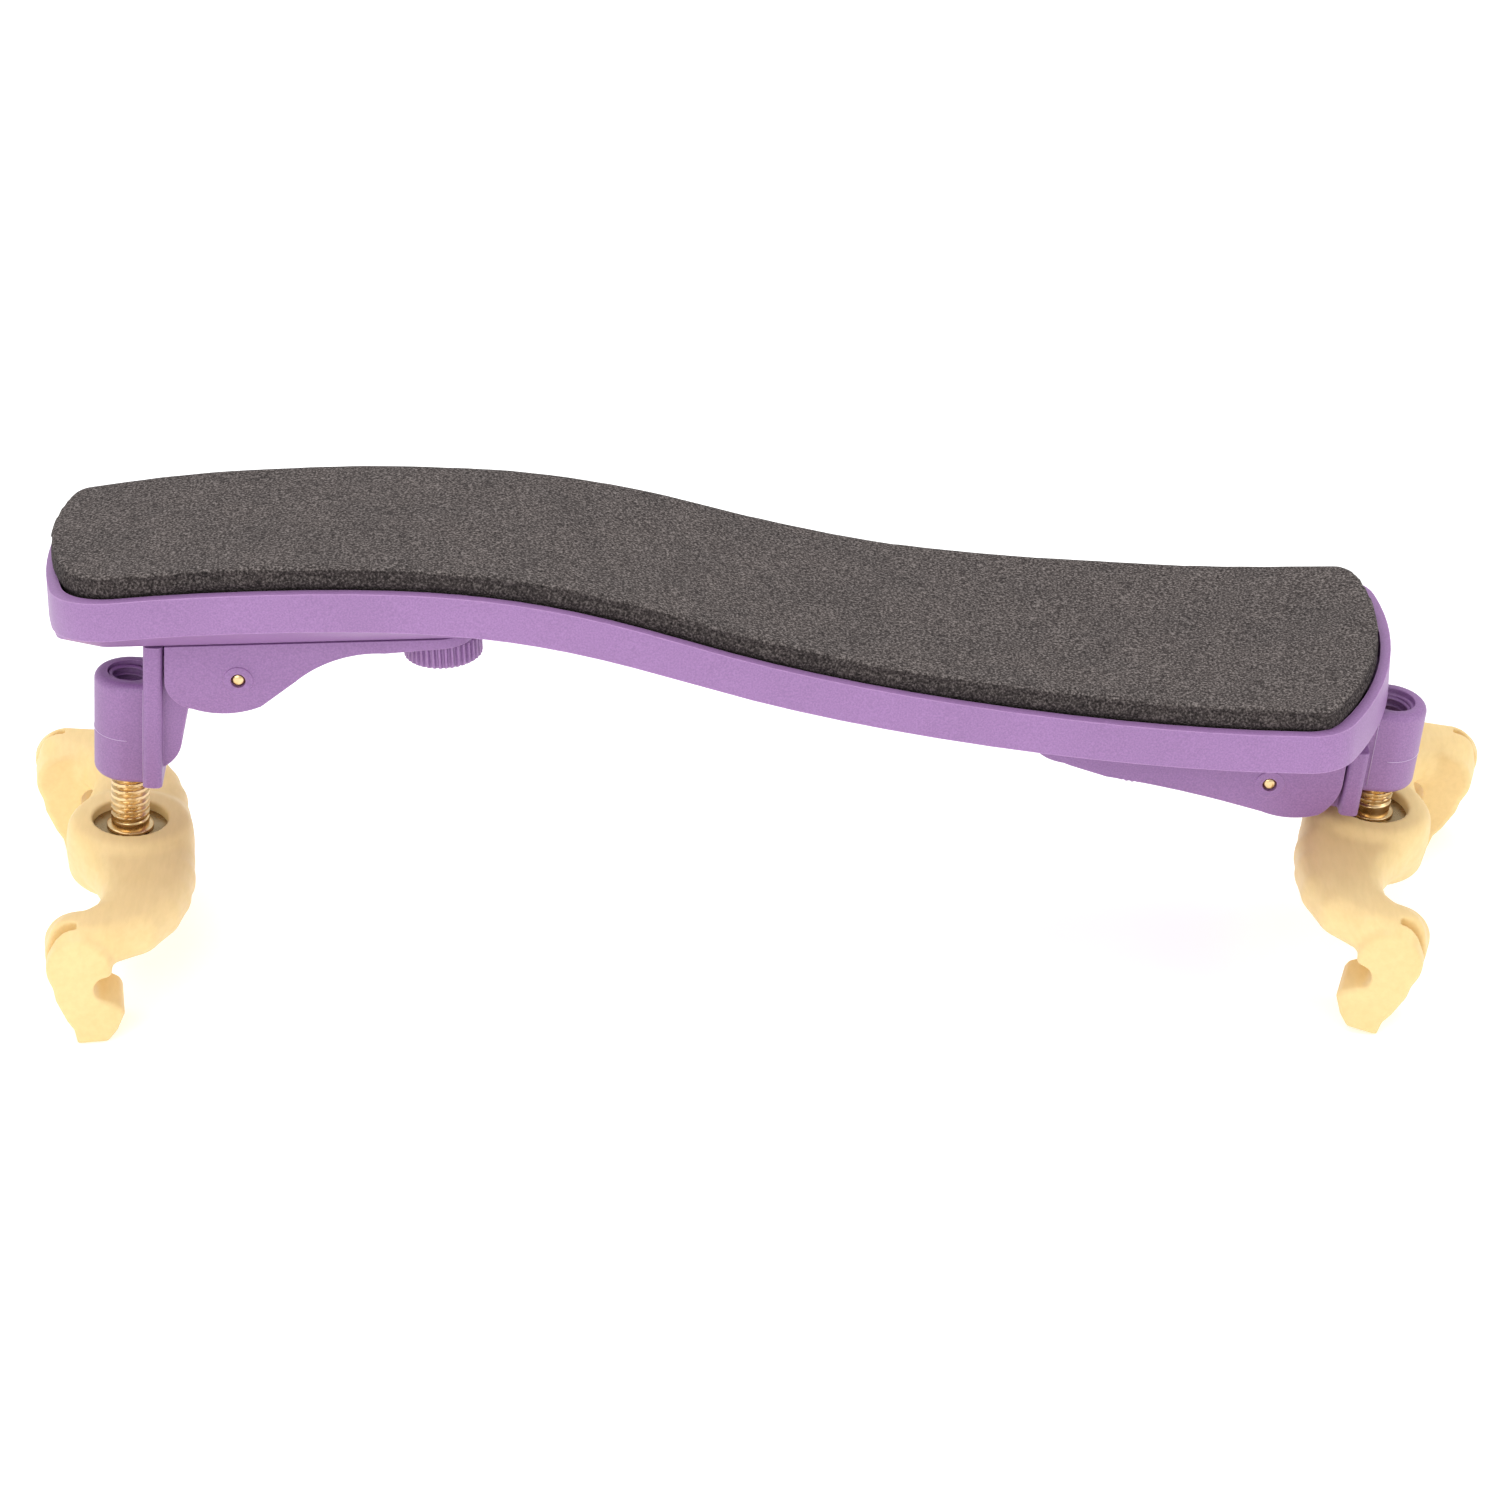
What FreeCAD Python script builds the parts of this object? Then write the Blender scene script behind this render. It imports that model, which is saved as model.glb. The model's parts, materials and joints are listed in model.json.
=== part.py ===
"""Collapsible violin shoulder rest: curved tray with a foam pad, and a folding foot under each end.

Frame: X along the tray, Y across it, Z up. The claws of the feet stand on z = 0.
Each foot is drawn in a frame of its own with its origin on the pivot pin's axis, local x
pointing inboard and local z up, so the right-hand foot is the same drawing turned half a turn.
"""
import FreeCAD, Part
import math
import os
import Sketcher
from FreeCAD import Placement, Rotation, Vector

OUT_DIR = "parts"

# ---------------------------------------------------------------- driving dimensions (mm, degrees)

DIMENSIONS = {
    # middle of the whole object, measured in the layout's own x and y
    "centre_x": 1.488,
    "centre_y": -1.361,
    # tray: plan outline, near side at negative y
    "tray_left_near_x": -109.0,
    "tray_left_near_y": -22.6,
    "tray_left_tip_x": -113.9,
    "tray_left_tip_y": 2.5,
    "tray_left_far_x": -111.4,
    "tray_left_far_y": 22.4,
    "tray_right_near_x": 94.0,
    "tray_right_near_y": -27.4,
    "tray_right_tip_x": 105.4,
    "tray_right_tip_y": 4.0,
    "tray_right_far_x": 102.6,
    "tray_right_far_y": 27.0,
    "tray_left_near_r": 12.5,
    "tray_left_far_r": 6.5,
    "tray_right_near_r": 8.5,
    "tray_right_far_r": 8.5,
    "wall_height": 6.7,
    "rim_t": 1.7,
    "recess_depth": 4.5,
    "recess_open": 20.0,
    "section_half": 34.0,
    # foam pad and its adhesive film
    "pad_above_rim": 3.6,
    "pad_gap": 0.35,
    "pad_left_gap": 0.0,
    "pad_right_gap": 0.6,
    "film_t": 0.3,
    "film_inset": 2.0,
    # lands under the tray that the brackets slide on
    "land_half": 9.0,
    "land_z": 6.75,
    "land_spread": 1.43,
    "land_inset": 0.5,
    "slide_slope": 1.5,
    "left_land_out": 24.5,
    "left_land_in": 37.5,
    "left_land_depth": 8.8,
    "left_land_end_spread": 0.9,
    "left_land_corner_r": 7.0,
    "right_land_out": 11.5,
    "right_land_in": 35.0,
    "right_land_depth": 7.4,
    "right_land_end_spread": 0.07,
    "right_land_corner_r": 3.0,
    # pivot pins
    "left_pin_x": -83.0,
    "left_pin_z": 50.9,
    "right_pin_x": 85.2,
    "right_pin_z": 31.3,
    "left_roll": -0.43,
    "right_roll": 1.75,
    "pin_r": 1.2,
    "pin_play": 0.06,
    # brackets: side outline in the sliding frame
    "bracket_half": 8.9,
    "cheek_t": 1.9,
    "bracket_top": 6.4,
    "bracket_tip": 38.5,
    "bracket_tip_r": 6.0,
    "left_cheek_end": 32.6,
    "right_cheek_end": 34.0,
    "end_bulge_x": 1.3,
    "end_bulge_z": 3.4,
    "web_left": 1.8,
    "web_right": 3.2,
    "left_end_top": 11.5,
    "left_end_low": 12.0,
    "left_heel_x": 7.8,
    "left_heel_z": 5.0,
    "left_belly_x": -2.2,
    "left_belly_z": 6.0,
    "left_flank_x": 3.4,
    "left_flank_z": -4.9,
    "left_hip_x": 9.2,
    "left_hip_z": -0.6,
    "left_waist_x": 14.5,
    "left_waist_z": 2.6,
    "left_toe_x": 24.0,
    "left_toe_z": 4.1,
    "right_end_top": 12.5,
    "right_end_low": 12.0,
    "right_heel_x": 8.4,
    "right_heel_z": 5.7,
    "right_belly_x": -4.2,
    "right_belly_z": 6.3,
    "right_flank_x": 1.0,
    "right_flank_z": -5.2,
    "right_hip_x": 7.6,
    "right_hip_z": -3.3,
    "right_waist_x": 16.0,
    "right_waist_z": -1.2,
    "right_toe_x": 27.0,
    "right_toe_z": 0.9,
    "pin_ring_r": 2.45,
    "pin_ring_t": 0.25,
    # clamp screws
    "left_stud_x": 32.9,
    "right_stud_x": 21.1,
    "slide_travel": 11.5,
    "stud_r": 2.0,
    "stud_play": 0.05,
    "slot_play": 0.4,
    "wheel_r": 6.45,
    "wheel_t": 4.6,
    "wheel_edge": 0.5,
    "washer_r": 5.2,
    "washer_t": 0.4,
    "washer_gap": 0.08,
    "insert_r": 3.5,
    "insert_length": 6.0,
    "stud_engaged": 5.5,
    "stud_recess": 0.6,
    # posts: local x is negative outboard of the pin
    "left_lean": -3.2,
    "right_lean": 6.7,
    "left_reach": 18.3,
    "right_reach": 19.1,
    "tube_r": 5.9,
    "tube_shoulder_r": 1.3,
    "bore_r": 3.25,
    "mouth_r": 3.75,
    "mouth_depth": 1.0,
    "left_tube_low": -21.7,
    "left_tube_top": -3.6,
    "right_tube_low": -1.6,
    "right_tube_top": 13.3,
    "plate_in": 12.3,
    "plate_out": 15.5,
    "plate_half": 8.9,
    "plate_corner_r": 1.0,
    "plate_overlap": 0.6,
    "left_plate_low": -20.6,
    "left_plate_top": 5.1,
    "right_plate_low": -4.6,
    "right_plate_top": 7.4,
    "lug_half": 6.6,
    "lug_r": 2.6,
    "gusset_run": 1.6,
    "gusset_belly": 1.0,
    "left_gusset_x": 9.2,
    "left_gusset_knee": -12.0,
    "left_gusset_bend": -15.8,
    "left_gusset_low": -17.8,
    "right_gusset_x": 9.2,
    "right_gusset_knee": -3.3,
    "right_gusset_bend": -4.0,
    "right_gusset_low": -4.3,
    # fork feet: local origin on the screw's axis, z = 0 at the claws' soles
    "left_rim_z": -31.266,
    "right_rim_z": -6.75,
    "left_toe_turn": 7.8,
    "right_toe_turn": -14.6,
    "fork_rim": 21.3,
    "hub_r": 10.2,
    "hub_low": 10.8,
    "hub_edge_r": 2.0,
    "hub_in_x": 9.9,
    "hub_in_y": 9.0,
    "hub_out_x": 9.4,
    "hub_out_y": 4.2,
    "arm_in_mid_x": 9.3,
    "arm_in_mid_y": 17.0,
    "arm_in_end_x": 7.9,
    "arm_in_end_y": 23.5,
    "elbow_x": 4.2,
    "elbow_y": 29.6,
    "elbow_end_x": 4.0,
    "arm_out_end_x": 8.6,
    "arm_out_bend_x": 5.8,
    "arm_out_bend_y": 22.4,
    "arm_out_mid_x": 5.9,
    "arm_out_mid_y": 17.0,
    "arm_out_low_x": 7.4,
    "arm_out_low_y": 12.4,
    "recess_r": 6.2,
    "recess_floor": 19.9,
    "arm_low": 12.8,
    "arm_top": 20.3,
    "claw_in_y": 26.15,
    "claw_out_y": 37.15,
    "claw_back": 14.6,
    "claw_corner": 3.0,
    "claw_corner_in": 2.5,
    "sole_edge_x": 0.9,
    "sole_edge_z": 1.1,
    "claw_top_x": 1.5,
    "claw_front_drop": 1.2,
    "claw_crown_x": 8.5,
    "claw_crown_drop": 0.6,
    "claw_brow_x": 1.9,
    "claw_brow_z": 17.6,
    "claw_bulge_z": 13.2,
    "claw_shin_x": 0.9,
    "claw_shin_z": 7.6,
    "claw_heel_z": 2.6,
    "mouth_bow": 0.9,
    "mouth_rise": 0.5,
    "sole_back": 10.1,
    "sole_front": 4.8,
    "sole_slope": 3.2,
    "jaw_tip_x": 2.6,
    "jaw_tip_z": 6.0,
    "mouth_end": 6.9,
    "mouth_low": 8.2,
    "mouth_top": 12.8,
    # screw and the brass bush moulded into the fork
    "screw_r": 3.175,
    "collar_gap": 0.08,
    "screw_top": 37.1,
    "collar_r": 3.9,
    "collar_t": 0.5,
    "bush_flange_t": 1.0,
    "bush_r": 4.6,
    "bush_low": 11.9,
    "bush_play": 0.06,
    "socket_floor": 11.6,
}

# Rim line of the tray: x, height of the rim's middle, and roll about X (positive lifts the far side)
RIM_LINE = (
    (-118.0, 67.4, -3.0),
    (-90.0, 71.8, -3.0),
    (-60.0, 72.8, -2.8),
    (-30.0, 70.0, -2.0),
    (-5.0, 63.4, -0.9),
    (20.0, 57.3, -0.6),
    (45.0, 53.4, 0.2),
    (75.0, 50.9, 1.3),
    (110.0, 51.4, 1.6),
)

doc = FreeCAD.newDocument("ShoulderRest")
sheet = doc.addObject("Spreadsheet::Sheet", "Dims")


def fill_sheet():
    """Puts every driving dimension in a cell of its own, with its alias in column B."""
    rows = dict(DIMENSIONS)
    for number, (x, z, roll) in enumerate(RIM_LINE, start=1):
        rows[f"station_{number}_x"] = x
        rows[f"station_{number}_z"] = z
        rows[f"station_{number}_roll"] = roll
    for row, (alias, value) in enumerate(rows.items(), start=1):
        sheet.set(f"A{row}", alias.replace("_", " "))
        sheet.set(f"B{row}", str(value))
        sheet.setAlias(f"B{row}", alias)
    doc.recompute()


class Size:
    """A number together with the spreadsheet expression that gives it."""

    def __init__(self, value, text):
        self.value = value
        self.text = text

    @staticmethod
    def of(other):
        return other if isinstance(other, Size) else Size(float(other), repr(float(other)))

    def join(self, sign, other, value):
        return Size(value, f"({self.text} {sign} {Size.of(other).text})")

    def __add__(self, other):
        return self.join("+", other, self.value + Size.of(other).value)

    def __sub__(self, other):
        return self.join("-", other, self.value - Size.of(other).value)

    def __mul__(self, other):
        return self.join("*", other, self.value * Size.of(other).value)

    def __truediv__(self, other):
        return self.join("/", other, self.value / Size.of(other).value)

    def __neg__(self):
        return Size(-self.value, f"(-{self.text})")


def dim(alias):
    """The named cell as a Size."""
    return Size(float(sheet.get(alias)), f"Dims.{alias}")


def num(alias):
    """The named cell's number."""
    return float(sheet.get(alias))


def bind(obj, **sizes):
    """Binds properties of an object to spreadsheet expressions."""
    for name, size in sizes.items():
        obj.setExpression(name, Size.of(size).text)
    return obj


# ---------------------------------------------------------------- sketches and solids

PLAN = Placement()
SIDE = Placement(Vector(), Rotation(Vector(1, 0, 0), 90))
ACROSS = Rotation(Vector(1, 1, 1), 120)
PRISM_HEIGHT = 95.0
CUT_OVER = 1.0
MID_ARC = 1 - math.sqrt(0.5)
ORIGIN_POINT = (-1, 1)
X_AXIS = -1
Y_AXIS = -2


def fix_point(sketch, geo, pos, point):
    """Constrains one sketch point to a pair of Sizes measured from the sketch's origin."""
    for kind, size, axis in (("DistanceX", point[0], Y_AXIS), ("DistanceY", point[1], X_AXIS)):
        size = Size.of(size)
        if abs(size.value) < 1e-9:
            sketch.addConstraint(Sketcher.Constraint("PointOnObject", geo, pos, axis))
            continue
        if size.value < 0:
            size = -size
            places = (geo, pos) + ORIGIN_POINT
        else:
            places = ORIGIN_POINT + (geo, pos)
        index = sketch.addConstraint(Sketcher.Constraint(kind, *places, size.value))
        sketch.setExpression(f"Constraints[{index}]", size.text)


def vector(point):
    return Vector(Size.of(point[0]).value, Size.of(point[1]).value, 0)


def end_at(sketch, geo, point):
    """Which end of a sketch curve lies at the given point: 1 for its start, 2 for its end."""
    return 1 if (sketch.getPoint(geo, 1) - vector(point)).Length < 1e-6 else 2


def draw(sketch, points):
    """Draws a closed outline. A pair is a corner; a single item (pair,) is a point an arc passes."""
    corners = []
    for index, point in enumerate(points):
        if len(point) == 2:
            corners.append(index)
    curves = []
    for order, index in enumerate(corners):
        after = corners[(order + 1) % len(corners)]
        start = points[index]
        end = points[after]
        between = points[index + 1] if (index + 1) < len(points) else start
        if len(between) == 1:
            through = between[0]
            geo = sketch.addGeometry(Part.Arc(vector(start), vector(through), vector(end)), False)
            mark = sketch.addGeometry(Part.Point(vector(through)), True)
            sketch.addConstraint(Sketcher.Constraint("PointOnObject", mark, 1, geo))
            fix_point(sketch, mark, 1, through)
        else:
            geo = sketch.addGeometry(Part.LineSegment(vector(start), vector(end)), False)
        first = end_at(sketch, geo, start)
        curves.append((geo, first, 3 - first, start))
    for order, (geo, first, last, start) in enumerate(curves):
        after = curves[(order + 1) % len(curves)]
        sketch.addConstraint(Sketcher.Constraint("Coincident", geo, last, after[0], after[1]))
        fix_point(sketch, geo, first, start)
    return sketch


def free_sketch(name, points, placement):
    sketch = doc.addObject("Sketcher::SketchObject", name)
    sketch.Placement = placement
    return draw(sketch, points)


def extrude(name, sketch, direction, length, symmetric=False):
    solid = doc.addObject("Part::Extrusion", name)
    solid.Base = sketch
    solid.DirMode = "Custom"
    solid.Dir = direction
    solid.Solid = True
    solid.Symmetric = symmetric
    return bind(solid, LengthFwd=length)


def cylinder(name, radius, height, x=0.0, y=0.0, z=0.0):
    solid = doc.addObject("Part::Cylinder", name)
    bind(solid, Radius=radius, Height=height)
    return shift(solid, x, y, z)


def box(name, length, width, height, x, y, z):
    solid = doc.addObject("Part::Box", name)
    bind(solid, Length=length, Width=width, Height=height)
    return shift(solid, x, y, z)


def shift(solid, x, y, z):
    for axis, size in (("x", x), ("y", y), ("z", z)):
        solid.setExpression(f"Placement.Base.{axis}", Size.of(size).text)
    return solid


def fuse(name, *solids):
    joined = doc.addObject("Part::MultiFuse", name)
    joined.Shapes = list(solids)
    return joined


def cut(name, base, tool):
    result = doc.addObject("Part::Cut", name)
    result.Base = base
    result.Tool = tool
    return result


def common(name, base, tool):
    result = doc.addObject("Part::Common", name)
    result.Base = base
    result.Tool = tool
    return result


def round_edges(name, base, radius, wanted):
    """Rounds the edges of a solid that the test function picks."""
    doc.recompute()
    result = doc.addObject("Part::Fillet", name)
    result.Base = base
    picked = [i for i, edge in enumerate(base.Shape.Edges, start=1) if wanted(edge)]
    result.Edges = [(index, radius, radius) for index in picked]
    return result


def is_upright(edge):
    """True for a straight edge along z."""
    low, high = edge.firstVertex().Point, edge.lastVertex().Point
    return abs(low.x - high.x) < 1e-6 and abs(low.y - high.y) < 1e-6 and abs(low.z - high.z) > 1e-3


def is_outboard_slant(edge):
    """True for the two slanted corner edges at the outboard end of a land."""
    low, high = edge.firstVertex().Point, edge.lastVertex().Point
    return edge.CenterOfMass.x < 0 and abs(low.y - high.y) > 1e-3 and abs(low.z - high.z) > 1e-3


def origin_plane(body, role):
    return next(item for item in body.Origin.OriginFeatures if item.Role == role)


def body_sketch(body, name, role, points, offset=None):
    sketch = body.newObject("Sketcher::SketchObject", name)
    sketch.AttachmentSupport = [(origin_plane(body, role), "")]
    sketch.MapMode = "FlatFace"
    if offset is not None:
        sketch.setExpression("AttachmentOffset.Base.z", Size.of(offset).text)
    doc.recompute()
    return draw(sketch, points)


def body_circle(body, name, role, radius, x, y):
    sketch = body.newObject("Sketcher::SketchObject", name)
    sketch.AttachmentSupport = [(origin_plane(body, role), "")]
    sketch.MapMode = "FlatFace"
    radius = Size.of(radius)
    geo = sketch.addGeometry(Part.Circle(vector((x, y)), Vector(0, 0, 1), radius.value), False)
    fix_point(sketch, geo, 3, (x, y))
    index = sketch.addConstraint(Sketcher.Constraint("Radius", geo, radius.value))
    sketch.setExpression(f"Constraints[{index}]", radius.text)
    return sketch


def revolve(name, profile):
    """A turned piece: a Body whose profile in the x-z plane is revolved about z."""
    body = doc.addObject("PartDesign::Body", name)
    sketch = body_sketch(body, f"{name}_profile", "XZ_Plane", profile)
    turned = body.newObject("PartDesign::Revolution", f"{name}_turned")
    turned.Profile = sketch
    turned.ReferenceAxis = (sketch, ["V_Axis"])
    turned.Angle = 360.0
    sketch.Visibility = False
    doc.recompute()
    return body


# ---------------------------------------------------------------- frames

def layout(x, z):
    """A point of the layout on the middle plane, with the object's middle moved to the origin."""
    return Vector(x - num("centre_x"), -num("centre_y"), z)


def side_frame(side, tilt):
    """The frame on a pivot pin: local x inboard, tilted about y so that positive raises inboard."""
    turn = Rotation(Vector(0, 0, 1), 0 if side == "left" else 180)
    roll = Rotation(Vector(1, 0, 0), num(f"{side}_roll"))
    where = layout(num(f"{side}_pin_x"), num(f"{side}_pin_z"))
    return Placement(where, roll * turn * Rotation(Vector(0, 1, 0), -tilt))


def slide_frame(side):
    return side_frame(side, num("slide_slope"))


def post_frame(side):
    return side_frame(side, num(f"{side}_lean"))


def fork_frame(side):
    """Origin on the screw's axis at the level of the soles, turned by the toe angle."""
    low = num(f"{side}_rim_z") - num("fork_rim")
    turn = Rotation(Vector(0, 0, 1), num(f"{side}_toe_turn"))
    return post_frame(side) * Placement(Vector(-num(f"{side}_reach"), 0, low), turn)


def finish(obj, label, placement):
    """Names a sub-part and puts it in its place."""
    obj.Label = label
    obj.Placement = placement
    return obj


# ---------------------------------------------------------------- tray, pad and film

def station_loft(name, low, high):
    """A slab that follows the rim line, from low to high measured from the rim."""
    sections = []
    half = dim("section_half")
    for number in range(1, len(RIM_LINE) + 1):
        rectangle = ((-half, low), (half, low), (half, high), (-half, high))
        roll = Rotation(Vector(1, 0, 0), num(f"station_{number}_roll"))
        sketch = free_sketch(f"{name}_section_{number}", rectangle, Placement(Vector(), roll * ACROSS))
        sketch.setExpression("Placement.Base.x", f"Dims.station_{number}_x")
        sketch.setExpression("Placement.Base.z", f"Dims.station_{number}_z")
        sections.append(sketch)
    slab = doc.addObject("Part::Loft", name)
    slab.Sections = sections
    slab.Solid = True
    slab.Ruled = False
    return slab


def plan_prism(name, inset, gaps):
    """The tray's plan outline moved in by inset, and its ends by the gaps too, as a tall prism."""
    left_in = inset + gaps[0]
    right_in = inset + gaps[1]

    def corner(end, side, sign):
        x = dim(f"tray_{end}_{side}_x")
        y = dim(f"tray_{end}_{side}_y") - inset * sign
        return (x + left_in, y) if end == "left" else (x - right_in, y)

    left_tip = (dim("tray_left_tip_x") + left_in, dim("tray_left_tip_y"))
    right_tip = (dim("tray_right_tip_x") - right_in, dim("tray_right_tip_y"))
    points = (
        corner("left", "near", -1),
        corner("right", "near", -1),
        (right_tip,),
        corner("right", "far", 1),
        corner("left", "far", 1),
        (left_tip,),
    )
    sketch = free_sketch(f"{name}_outline", points, PLAN)
    prism = extrude(f"{name}_block", sketch, Vector(0, 0, 1), PRISM_HEIGHT)

    rounded = prism
    for end in ("left", "right"):
        for side in ("near", "far"):
            radius = num(f"tray_{end}_{side}_r") - inset.value
            rounded = round_edges(f"{name}_{end}_{side}", rounded, radius, corner_test(end, side))
    return rounded


def corner_test(end, side):
    """A test for the upright edge at one corner of a plan prism."""
    toward_x = -1 if end == "left" else 1
    toward_y = -1 if side == "near" else 1

    def is_that_corner(edge):
        point = edge.firstVertex().Point
        return is_upright(edge) and point.x * toward_x > 0 and point.y * toward_y > 0

    return is_that_corner


def land(side):
    """The tapered land on the tray's underside that one bracket slides along."""
    depth = dim(f"{side}_land_depth")
    spread = depth * dim("land_spread")
    end_spread = depth * dim(f"{side}_land_end_spread")
    out = dim(f"{side}_land_out")
    inboard = dim(f"{side}_land_in")
    half = dim("land_half")
    solid = doc.addObject("Part::Wedge", f"{side}_land")
    bind(solid, Xmin=-out, Xmax=inboard, Zmin=-half, Zmax=half, Ymin=dim("land_z"))
    bind(solid, X2min=-(out + end_spread), X2max=inboard + spread)
    bind(solid, Z2min=-(half + spread), Z2max=half + spread, Ymax=dim("land_z") + depth)
    rounded = round_edges(f"{side}_land_rounded", solid, num(f"{side}_land_corner_r"), is_outboard_slant)
    rounded.Placement = slide_frame(side) * Placement(Vector(), Rotation(Vector(1, 0, 0), 90))
    return rounded


def insert_hole(side):
    """The blind hole in a land that takes the threaded insert."""
    hole = doc.addObject("Part::Cylinder", f"{side}_insert_hole")
    bind(hole, Radius=dim("insert_r"), Height=dim("insert_length") + CUT_OVER)
    stand = Placement(Vector(num(f"{side}_stud_x"), 0, num("land_z") - CUT_OVER), Rotation())
    hole.Placement = slide_frame(side) * stand
    return hole


def to_middle(solid):
    """Moves a plan-view solid from the layout to the object's own middle."""
    solid.Placement = Placement(layout(0, 0), Rotation())
    return solid


def make_tray():
    slab = station_loft("tray_slab", -dim("wall_height"), Size.of(0.0))
    flush = (Size.of(0.0), Size.of(0.0))
    outer = plan_prism("tray_plan", Size.of(0.0), flush)
    plank = to_middle(common("tray_plank", slab, outer))
    room = station_loft("recess_slab", -dim("recess_depth"), dim("recess_open"))
    inner = plan_prism("recess_plan", dim("rim_t"), flush)
    recess = to_middle(common("recess", room, inner))
    lands = fuse("tray_lands", land("left"), land("right"))
    bound = to_middle(plan_prism("land_plan", dim("land_inset"), flush))
    whole = fuse("tray_with_lands", plank, common("tray_lands_trimmed", lands, bound))
    hollow = fuse("tray_hollows", recess, insert_hole("left"), insert_hole("right"))
    return finish(cut("base_tray", whole, hollow), "base_tray", Placement())


def pad_gaps():
    """How far the pad's ends stand off the rim: it sits against the left end and short of the right."""
    return (dim("pad_left_gap"), dim("pad_right_gap"))


def make_pad():
    low = dim("film_t") - dim("recess_depth")
    slab = station_loft("pad_slab", low, dim("pad_above_rim"))
    inset = dim("rim_t") + dim("pad_gap")
    plan = plan_prism("pad_plan", inset, pad_gaps())
    pad = to_middle(common("foam_pad", slab, plan))
    pad.Label = "foam_pad"
    return pad


def make_film():
    low = -dim("recess_depth")
    slab = station_loft("film_slab", low, low + dim("film_t"))
    inset = dim("rim_t") + dim("film_inset")
    plan = plan_prism("film_plan", inset, pad_gaps())
    film = to_middle(common("pad_adhesive", slab, plan))
    film.Label = "pad_adhesive"
    return film


def make_base_insert(side):
    """Brass threaded insert, flush with the land."""
    bore = dim("stud_r") + dim("stud_play")
    top = dim("insert_length")
    profile = ((bore, 0.0), (dim("insert_r"), 0.0), (dim("insert_r"), top), (bore, top))
    body = revolve(f"{side}_base_insert", profile)
    place = slide_frame(side) * Placement(Vector(num(f"{side}_stud_x"), 0, num("land_z")), Rotation())
    return finish(body, f"{side}_base_insert", place)


# ---------------------------------------------------------------- brackets and pins

def make_bracket(side):
    """Sliding bracket: a slotted web with two cheeks that taper inboard and carry the pivot pin."""
    half = dim("bracket_half")
    top = dim("bracket_top")
    web_low = top - dim(f"web_{side}")
    tip = dim("bracket_tip")
    body = doc.addObject("PartDesign::Body", f"{side}_bracket")
    outline = (
        (-dim(f"{side}_end_top"), top),
        (-dim(f"{side}_end_low"), Size.of(0.0)),
        ((-dim(f"{side}_end_low") + dim("end_bulge_x"), -dim("end_bulge_z")),),
        (-dim(f"{side}_heel_x"), -dim(f"{side}_heel_z")),
        ((dim(f"{side}_belly_x"), -dim(f"{side}_belly_z")),),
        (dim(f"{side}_flank_x"), dim(f"{side}_flank_z")),
        (dim(f"{side}_hip_x"), dim(f"{side}_hip_z")),
        ((dim(f"{side}_waist_x"), dim(f"{side}_waist_z")),),
        (dim(f"{side}_toe_x"), dim(f"{side}_toe_z")),
        (dim(f"{side}_cheek_end"), web_low),
        (tip, web_low),
        (tip, top),
    )
    side_view = body_sketch(body, f"{side}_bracket_side", "XZ_Plane", outline)
    blank = body.newObject("PartDesign::Pad", f"{side}_bracket_blank")
    blank.Profile = side_view
    blank.SideType = "Symmetric"
    bind(blank, Length=half * 2)
    doc.recompute()

    ring_view = body_circle(body, f"{side}_pin_ring", "XZ_Plane", dim("pin_ring_r"), 0.0, 0.0)
    ring = body.newObject("PartDesign::Pad", f"{side}_pin_rings")
    ring.Profile = ring_view
    ring.SideType = "Symmetric"
    bind(ring, Length=(half + dim("pin_ring_t")) * 2)
    doc.recompute()

    gap = half - dim("cheek_t")
    far_out = -dim("bracket_tip")
    far_in = dim("bracket_tip") * 2
    channel = ((far_out, -gap), (far_in, -gap), (far_in, gap), (far_out, gap))
    channel_view = body_sketch(body, f"{side}_channel", "XY_Plane", channel, web_low)
    hollow = body.newObject("PartDesign::Pocket", f"{side}_channel_cut")
    hollow.Profile = channel_view
    hollow.Type = "ThroughAll"
    doc.recompute()

    wide = dim("stud_r") + dim("slot_play")
    first, last = slot_ends(side)
    slot = (
        (first, -wide),
        (last, -wide),
        ((last + wide, Size.of(0.0)),),
        (last, wide),
        (first, wide),
        ((first - wide, Size.of(0.0)),),
    )
    slot_view = body_sketch(body, f"{side}_slot", "XY_Plane", slot, top + CUT_OVER)
    opening = body.newObject("PartDesign::Pocket", f"{side}_slot_cut")
    opening.Profile = slot_view
    opening.Type = "ThroughAll"
    doc.recompute()

    round_tip(body, opening, side)
    hole_view = body_circle(body, f"{side}_pin_hole", "XZ_Plane", dim("pin_r"), 0.0, 0.0)
    hole = body.newObject("PartDesign::Pocket", f"{side}_pin_hole_cut")
    hole.Profile = hole_view
    hole.Type = "ThroughAll"
    hole.SideType = "Symmetric"
    doc.recompute()
    return finish(body, f"{side}_bracket", slide_frame(side))


def round_tip(body, base, side):
    """Rounds the web's two corners at the inboard tip."""
    tip = num("bracket_tip")
    names = []
    for index, edge in enumerate(base.Shape.Edges, start=1):
        if is_upright(edge) and abs(edge.CenterOfMass.x - tip) < 0.01:
            names.append(f"Edge{index}")
    corner = body.newObject("PartDesign::Fillet", f"{side}_tip_round")
    corner.Base = (base, names)
    bind(corner, Radius=dim("bracket_tip_r"))
    doc.recompute()


def slot_ends(side):
    """Centres of the slot's two rounded ends: where the stud stands at the ends of the travel."""
    stud = dim(f"{side}_stud_x")
    travel = dim("slide_travel")
    if side == "left":
        return stud - travel, stud
    return stud, stud + travel


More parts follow.
